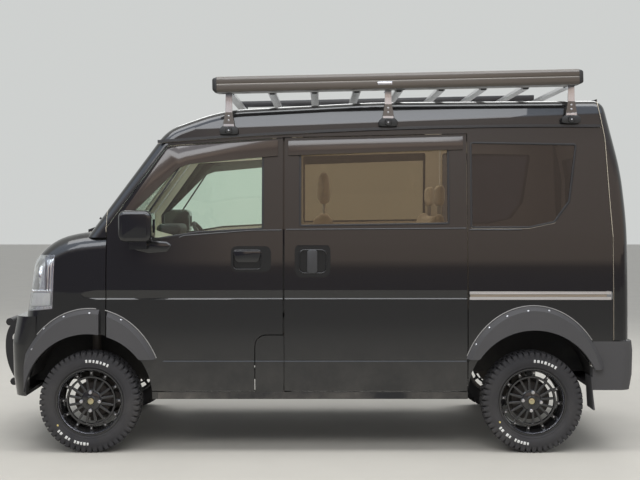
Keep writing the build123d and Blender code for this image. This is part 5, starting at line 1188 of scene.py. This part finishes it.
case_paint = streaked("awning_case_paint", (2.0, 60.0, 60.0), 5.0, ((0.062, 0.050, 0.040, 1), (0.085, 0.070, 0.056,
                                                            1)),
                      (0.32, 0.46), {"Coat Weight": 0.25, "Coat Roughness": 0.12})
case = block("awning_case", (-0.976, -0.064, -0.041), (0.976, 0.064, 0.041))
with edit_all():
    for height in (-0.004, 0.0, 0.004, -0.030, 0.026):
        bpy.ops.mesh.select_all(action="SELECT")
        bpy.ops.mesh.bisect(plane_co=(0, 0, height), plane_no=(0, 0, 1))
for vertex in case.data.vertices:
    if vertex.co.y > 0.06:
        high = vertex.co.z
        if abs(high) < 0.0005:
            vertex.co.y = 0.0605
        elif high > 0.03:
            vertex.co.y = 0.052
        elif high < -0.035:
            vertex.co.y = 0.056
        else:
            vertex.co.y = 0.0635
case = painted(eased(case, 0.004, 3, 15), case_paint)
line = painted(eased(block("case_line", (-0.975, 0.0585, -0.0013), (0.975, 0.0618, 0.0013)), 0.0005, 1),
               grained("pale_line", (0.50, 0.47, 0.42), 0.4, 300.0, 0.05, 0.1))
caps = []
for end in (-1, 1):
    end_cap = block("case_end", (end * 0.972, -0.064, -0.041), (end * 1.000, 0.064, 0.041))
    for vertex in end_cap.data.vertices:
        if abs(vertex.co.x) > 0.99:
            vertex.co.z *= 0.80
            vertex.co.y *= 0.86
    caps.append(painted(eased(end_cap, 0.010, 4), clamp_black))
label = painted(eased(block("case_plate", (0.030, 0.0600, -0.0225), (0.110, 0.0640, -0.0055)), 0.002, 2), leg_steel)
brackets = []
for x in (-0.95, -0.02, 0.93):
    brackets.append(painted(eased(block("case_bracket", (x - 0.025, -0.0640, -0.041), (x + 0.025, 0.020, -0.0380)),
                                  0.001, 1), satin_black))
awning = joined("awning_case_whole", case, line, *caps, label, *brackets)
shifted(awning, (-0.455, 0.7677, 2.02695), (0, radians(1.25), 0))
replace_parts(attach(awning, "body"), "awning")

# ---------------------------------------------------------------- headlamps
# Clear moulded lens over a bright fluted reflector with a forward bowl and bulb, a frame
# that parts it in cells, and the white turn lamp at its foot.


def lamp_skin(spot, normal):
    """The front and outer faces of a headlamp."""
    return normal.x > 0.2 or normal.y * spot.y > 0.15 and abs(spot.y) > 0.5


lens_clear = clouded("lamp_lens", 9.0, ((0.93, 0.95, 0.96, 1), (0.98, 0.98, 0.98, 1)),
                     {"Roughness": 0.02, "Transmission Weight": 1.0, "IOR": 1.49})
chrome, tree, shader = finish("lamp_chrome", {"Metallic": 1.0})
place = wire(tree, "TexCoord")
spot = wire(tree, "SeparateXYZ", {0: place.outputs["Object"]})
across = wire(tree, "Math", {0: spot.outputs["Y"]}, operation="ABSOLUTE")
round_it = wire(tree, "Math", {0: across, 1: spot.outputs["X"]}, operation="SUBTRACT")
flute = wire(tree, "Math", {0: wire(tree, "Math", {0: round_it, 1: 420.0}, operation="MULTIPLY")},
             operation="SINE")
cloud = wire(tree, "TexNoise", {"Vector": place.outputs["Object"], "Scale": 60.0, "Detail": 4.0})
shade = wire(tree, "MixRGB", {"Fac": cloud.outputs["Fac"], "Color1": (0.80, 0.81, 0.83, 1),
                              "Color2": (0.92, 0.92, 0.93, 1)})
satin = wire(tree, "MapRange", {"Value": cloud.outputs["Fac"], "To Min": 0.10, "To Max": 0.24})
raised = wire(tree, "Bump", {"Height": flute, "Strength": 0.5, "Distance": 0.002})
shown(tree, shader, shade, satin, raised)
lamp_frame = grained("lamp_frame", (0.30, 0.30, 0.32), 0.25, 500.0, 0.06, 0.2, {"Metallic": 0.6})


def ribbed(name, axis, pitch, tones, gloss, strength, depth, plain):
    """Moulded plastic with fine ribs across one axis, its colour painted lighter on each rib's crest and darker in
    each trough as painted highlight and shade.
    """
    made, tree, shader = finish(name, plain)
    spot = wire(tree, "SeparateXYZ", {0: wire(tree, "TexCoord").outputs["Object"]})
    rib = wire(tree, "Math", {0: spot.outputs[axis], 1: pitch}, operation="MULTIPLY")
    rib = wire(tree, "Math", {0: rib}, operation="SINE")
    rib = wire(tree, "MapRange", {"Value": rib, "From Min": -1.0})
    # painted highlight and shade: the colour follows the rib height, light tone on the crests
    shade = wire(tree, "MixRGB", {"Fac": rib, "Color1": tones[0], "Color2": tones[1]})
    satin = wire(tree, "MapRange", {"Value": rib, "To Min": gloss[0], "To Max": gloss[1]})
    raised = wire(tree, "Bump", {"Height": rib, "Strength": strength, "Distance": depth})
    shown(tree, shader, shade, satin, raised)
    return made


# painted highlight and shade: the white turn cell's ribs are lighter on their crests in the colour itself
turn_white = ribbed("turn_cell", "X", 900.0, ((0.66, 0.65, 0.62, 1), (0.86, 0.85, 0.82, 1)), (0.35, 0.15), 0.5,
                    0.0015,
                    {"Coat Weight": 0.6, "Coat Roughness": 0.04})
lens = smooth(thickened(shell_of("headlamp_lenses", "headlamps", lamp_skin), 0.003, -1), 35)
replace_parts(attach(painted(lens, lens_clear), "body"), "headlamps")
housing = thickened(shell_of("headlamp_housings", "headlamps", lambda spot, normal: not lamp_skin(spot, normal)),
                    0.002, -1)
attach(painted(smooth(housing, 35), lamp_frame), "body")
reflector = shell_of("headlamp_reflectors", "headlamps", lamp_skin)
with edit_all():
    bpy.ops.transform.shrink_fatten(value=-0.042)
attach(painted(smooth(thickened(reflector, 0.002, -1), 60), chrome), "body")
parts = [painted(eased(plate("frame_post", [(1.470, 1.078), (1.462, 1.078), (1.468, 0.884), (1.477, 0.884)], 0.690,
                             0.706), 0.001, 1), lamp_frame),
         painted(eased(plate("frame_shelf", [(1.425, 0.890), (1.545, 0.890), (1.545, 0.880), (1.425, 0.880)], 0.672,
                             0.707), 0.0015, 1), chrome),
         painted(eased(plate("turn_cell", [(1.440, 0.874), (1.538, 0.874), (1.552, 0.800), (1.444, 0.803)], 0.670,
                             0.704), 0.006, 3, 50), turn_white)]
bowl = turned("main_bowl", [(0.072, 0.034), (0.068, 0.032), (0.052, 0.014), (0.030, 0.004), (0.012, 0.001),
                            (0.012, -0.003), (0.074, -0.003)], 48)
bulb = turned("bulb", [(0.0, 0.0), (0.007, 0.0), (0.008, 0.012), (0.006, 0.018), (0.0, 0.020)], 24)
for piece, material in ((bowl, chrome), (bulb, turn_white)):
    parts.append(painted(smooth(shifted(piece, (1.494, 0.555, 0.955), (0, 0, -pi / 2)), 40), material))
inside = joined("headlamp_cells_left", *parts)
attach(to_right(inside, "headlamp_cells_right"), "body")
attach(inside, "body")

# ---------------------------------------------------------------- front and rear fittings
# Slatted grille in gloss black, bare fixing bolts on the guard, blank number plates, and on
# the tailgate a grip bar, a wiper and the ribbed red lamps in the bumper.
dress(gloss_plastic, "grille")
# painted highlight and shade: the red lamp ribs are lighter on their crests in the colour itself
red_lens = ribbed("red_lamp_plastic", "Y", 800.0, ((0.24, 0.008, 0.008, 1), (0.46, 0.02, 0.016, 1)), (0.4, 0.2), 0.4,
                  0.001,
                  {"Coat Weight": 0.8, "Coat Roughness": 0.03})
dress(red_lens, "tail_lamps")
bolts = [screw("guard_bolt", (x, 0.4740, z), (0, 1, 0), 0.008) for x, z in ((1.640, 0.700), (1.632, 0.340), (1.642,
                                                            0.520))]
bolts = painted(joined("guard_bolts_left", *bolts), nut_steel)
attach(to_right(bolts, "guard_bolts_right"), "body")
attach(bolts, "body")
blank_plate = grained("blank_plate", (0.74, 0.73, 0.69), 0.35, 300.0, 0.05, 0.06, {"Coat Weight": 0.2})
hit = met(("front_bumper",), (2.4, 0.0, 0.60), (-1, 0, 0))[0]
front_plate = painted(eased(block("front_plate", (hit.x + 0.0005, -0.165, 0.510), (hit.x + 0.0030, 0.165, 0.675)),
                            0.001, 1), blank_plate)
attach(front_plate, "body")
hit = met(("tailgate",), (-2.4, 0.0, 0.735), (1, 0, 0))[0]
rear_plate = painted(eased(block("rear_plate", (hit.x - 0.0030, -0.165, 0.672), (hit.x - 0.0005, 0.165, 0.796)),
                           0.001, 1), blank_plate)
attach(rear_plate, "tailgate")
hit = met(("tailgate",), (-2.4, 0.0, 0.86), (1, 0, 0))[0]
grip = painted(eased(block("tailgate_grip", (hit.x - 0.012, -0.21, 0.835), (hit.x + 0.004, 0.21, 0.885)), 0.006, 3),
               gloss_plastic)
pivot = met(("tailgate", "tailgate_glass"), (-2.4, 0.0, 1.09), (1, 0, 0))[0]
tip = met(("tailgate", "tailgate_glass"), (-2.4, 0.36, 1.19), (1, 0, 0))[0]
cap = turned("wiper_cap", [(0.0, 0.0), (0.022, 0.0), (0.022, 0.008), (0.014, 0.016), (0.0, 0.018)], 32)
cap = painted(smooth(shifted(cap, pivot, (0, 0, pi / 2))), satin_black)
arm = rod("wiper_arm", [pivot + Vector((-0.012, 0, 0)), pivot.lerp(tip, 0.5) + Vector((-0.016, 0, 0)),
                        tip + Vector((-0.012, 0, 0))], 0.0045, satin_black)
blade = []
for step in range(9):
    y, z = 0.12 + 0.045 * step, 1.150 + 0.0085 * step
    spot = met(("tailgate", "tailgate_glass"), (-2.4, y, z), (1, 0, 0))[0]
    blade.append(spot + Vector((-0.0075, 0, 0)))
blade = rod("wiper_blade", blade, 0.0055, satin_black)
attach(joined("tailgate_wiper", cap, arm, blade), "tailgate")
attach(grip, "tailgate")

begin()
size = {"cad": [list(v) for v in cad_box], "visual": [list(v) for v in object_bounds()]}
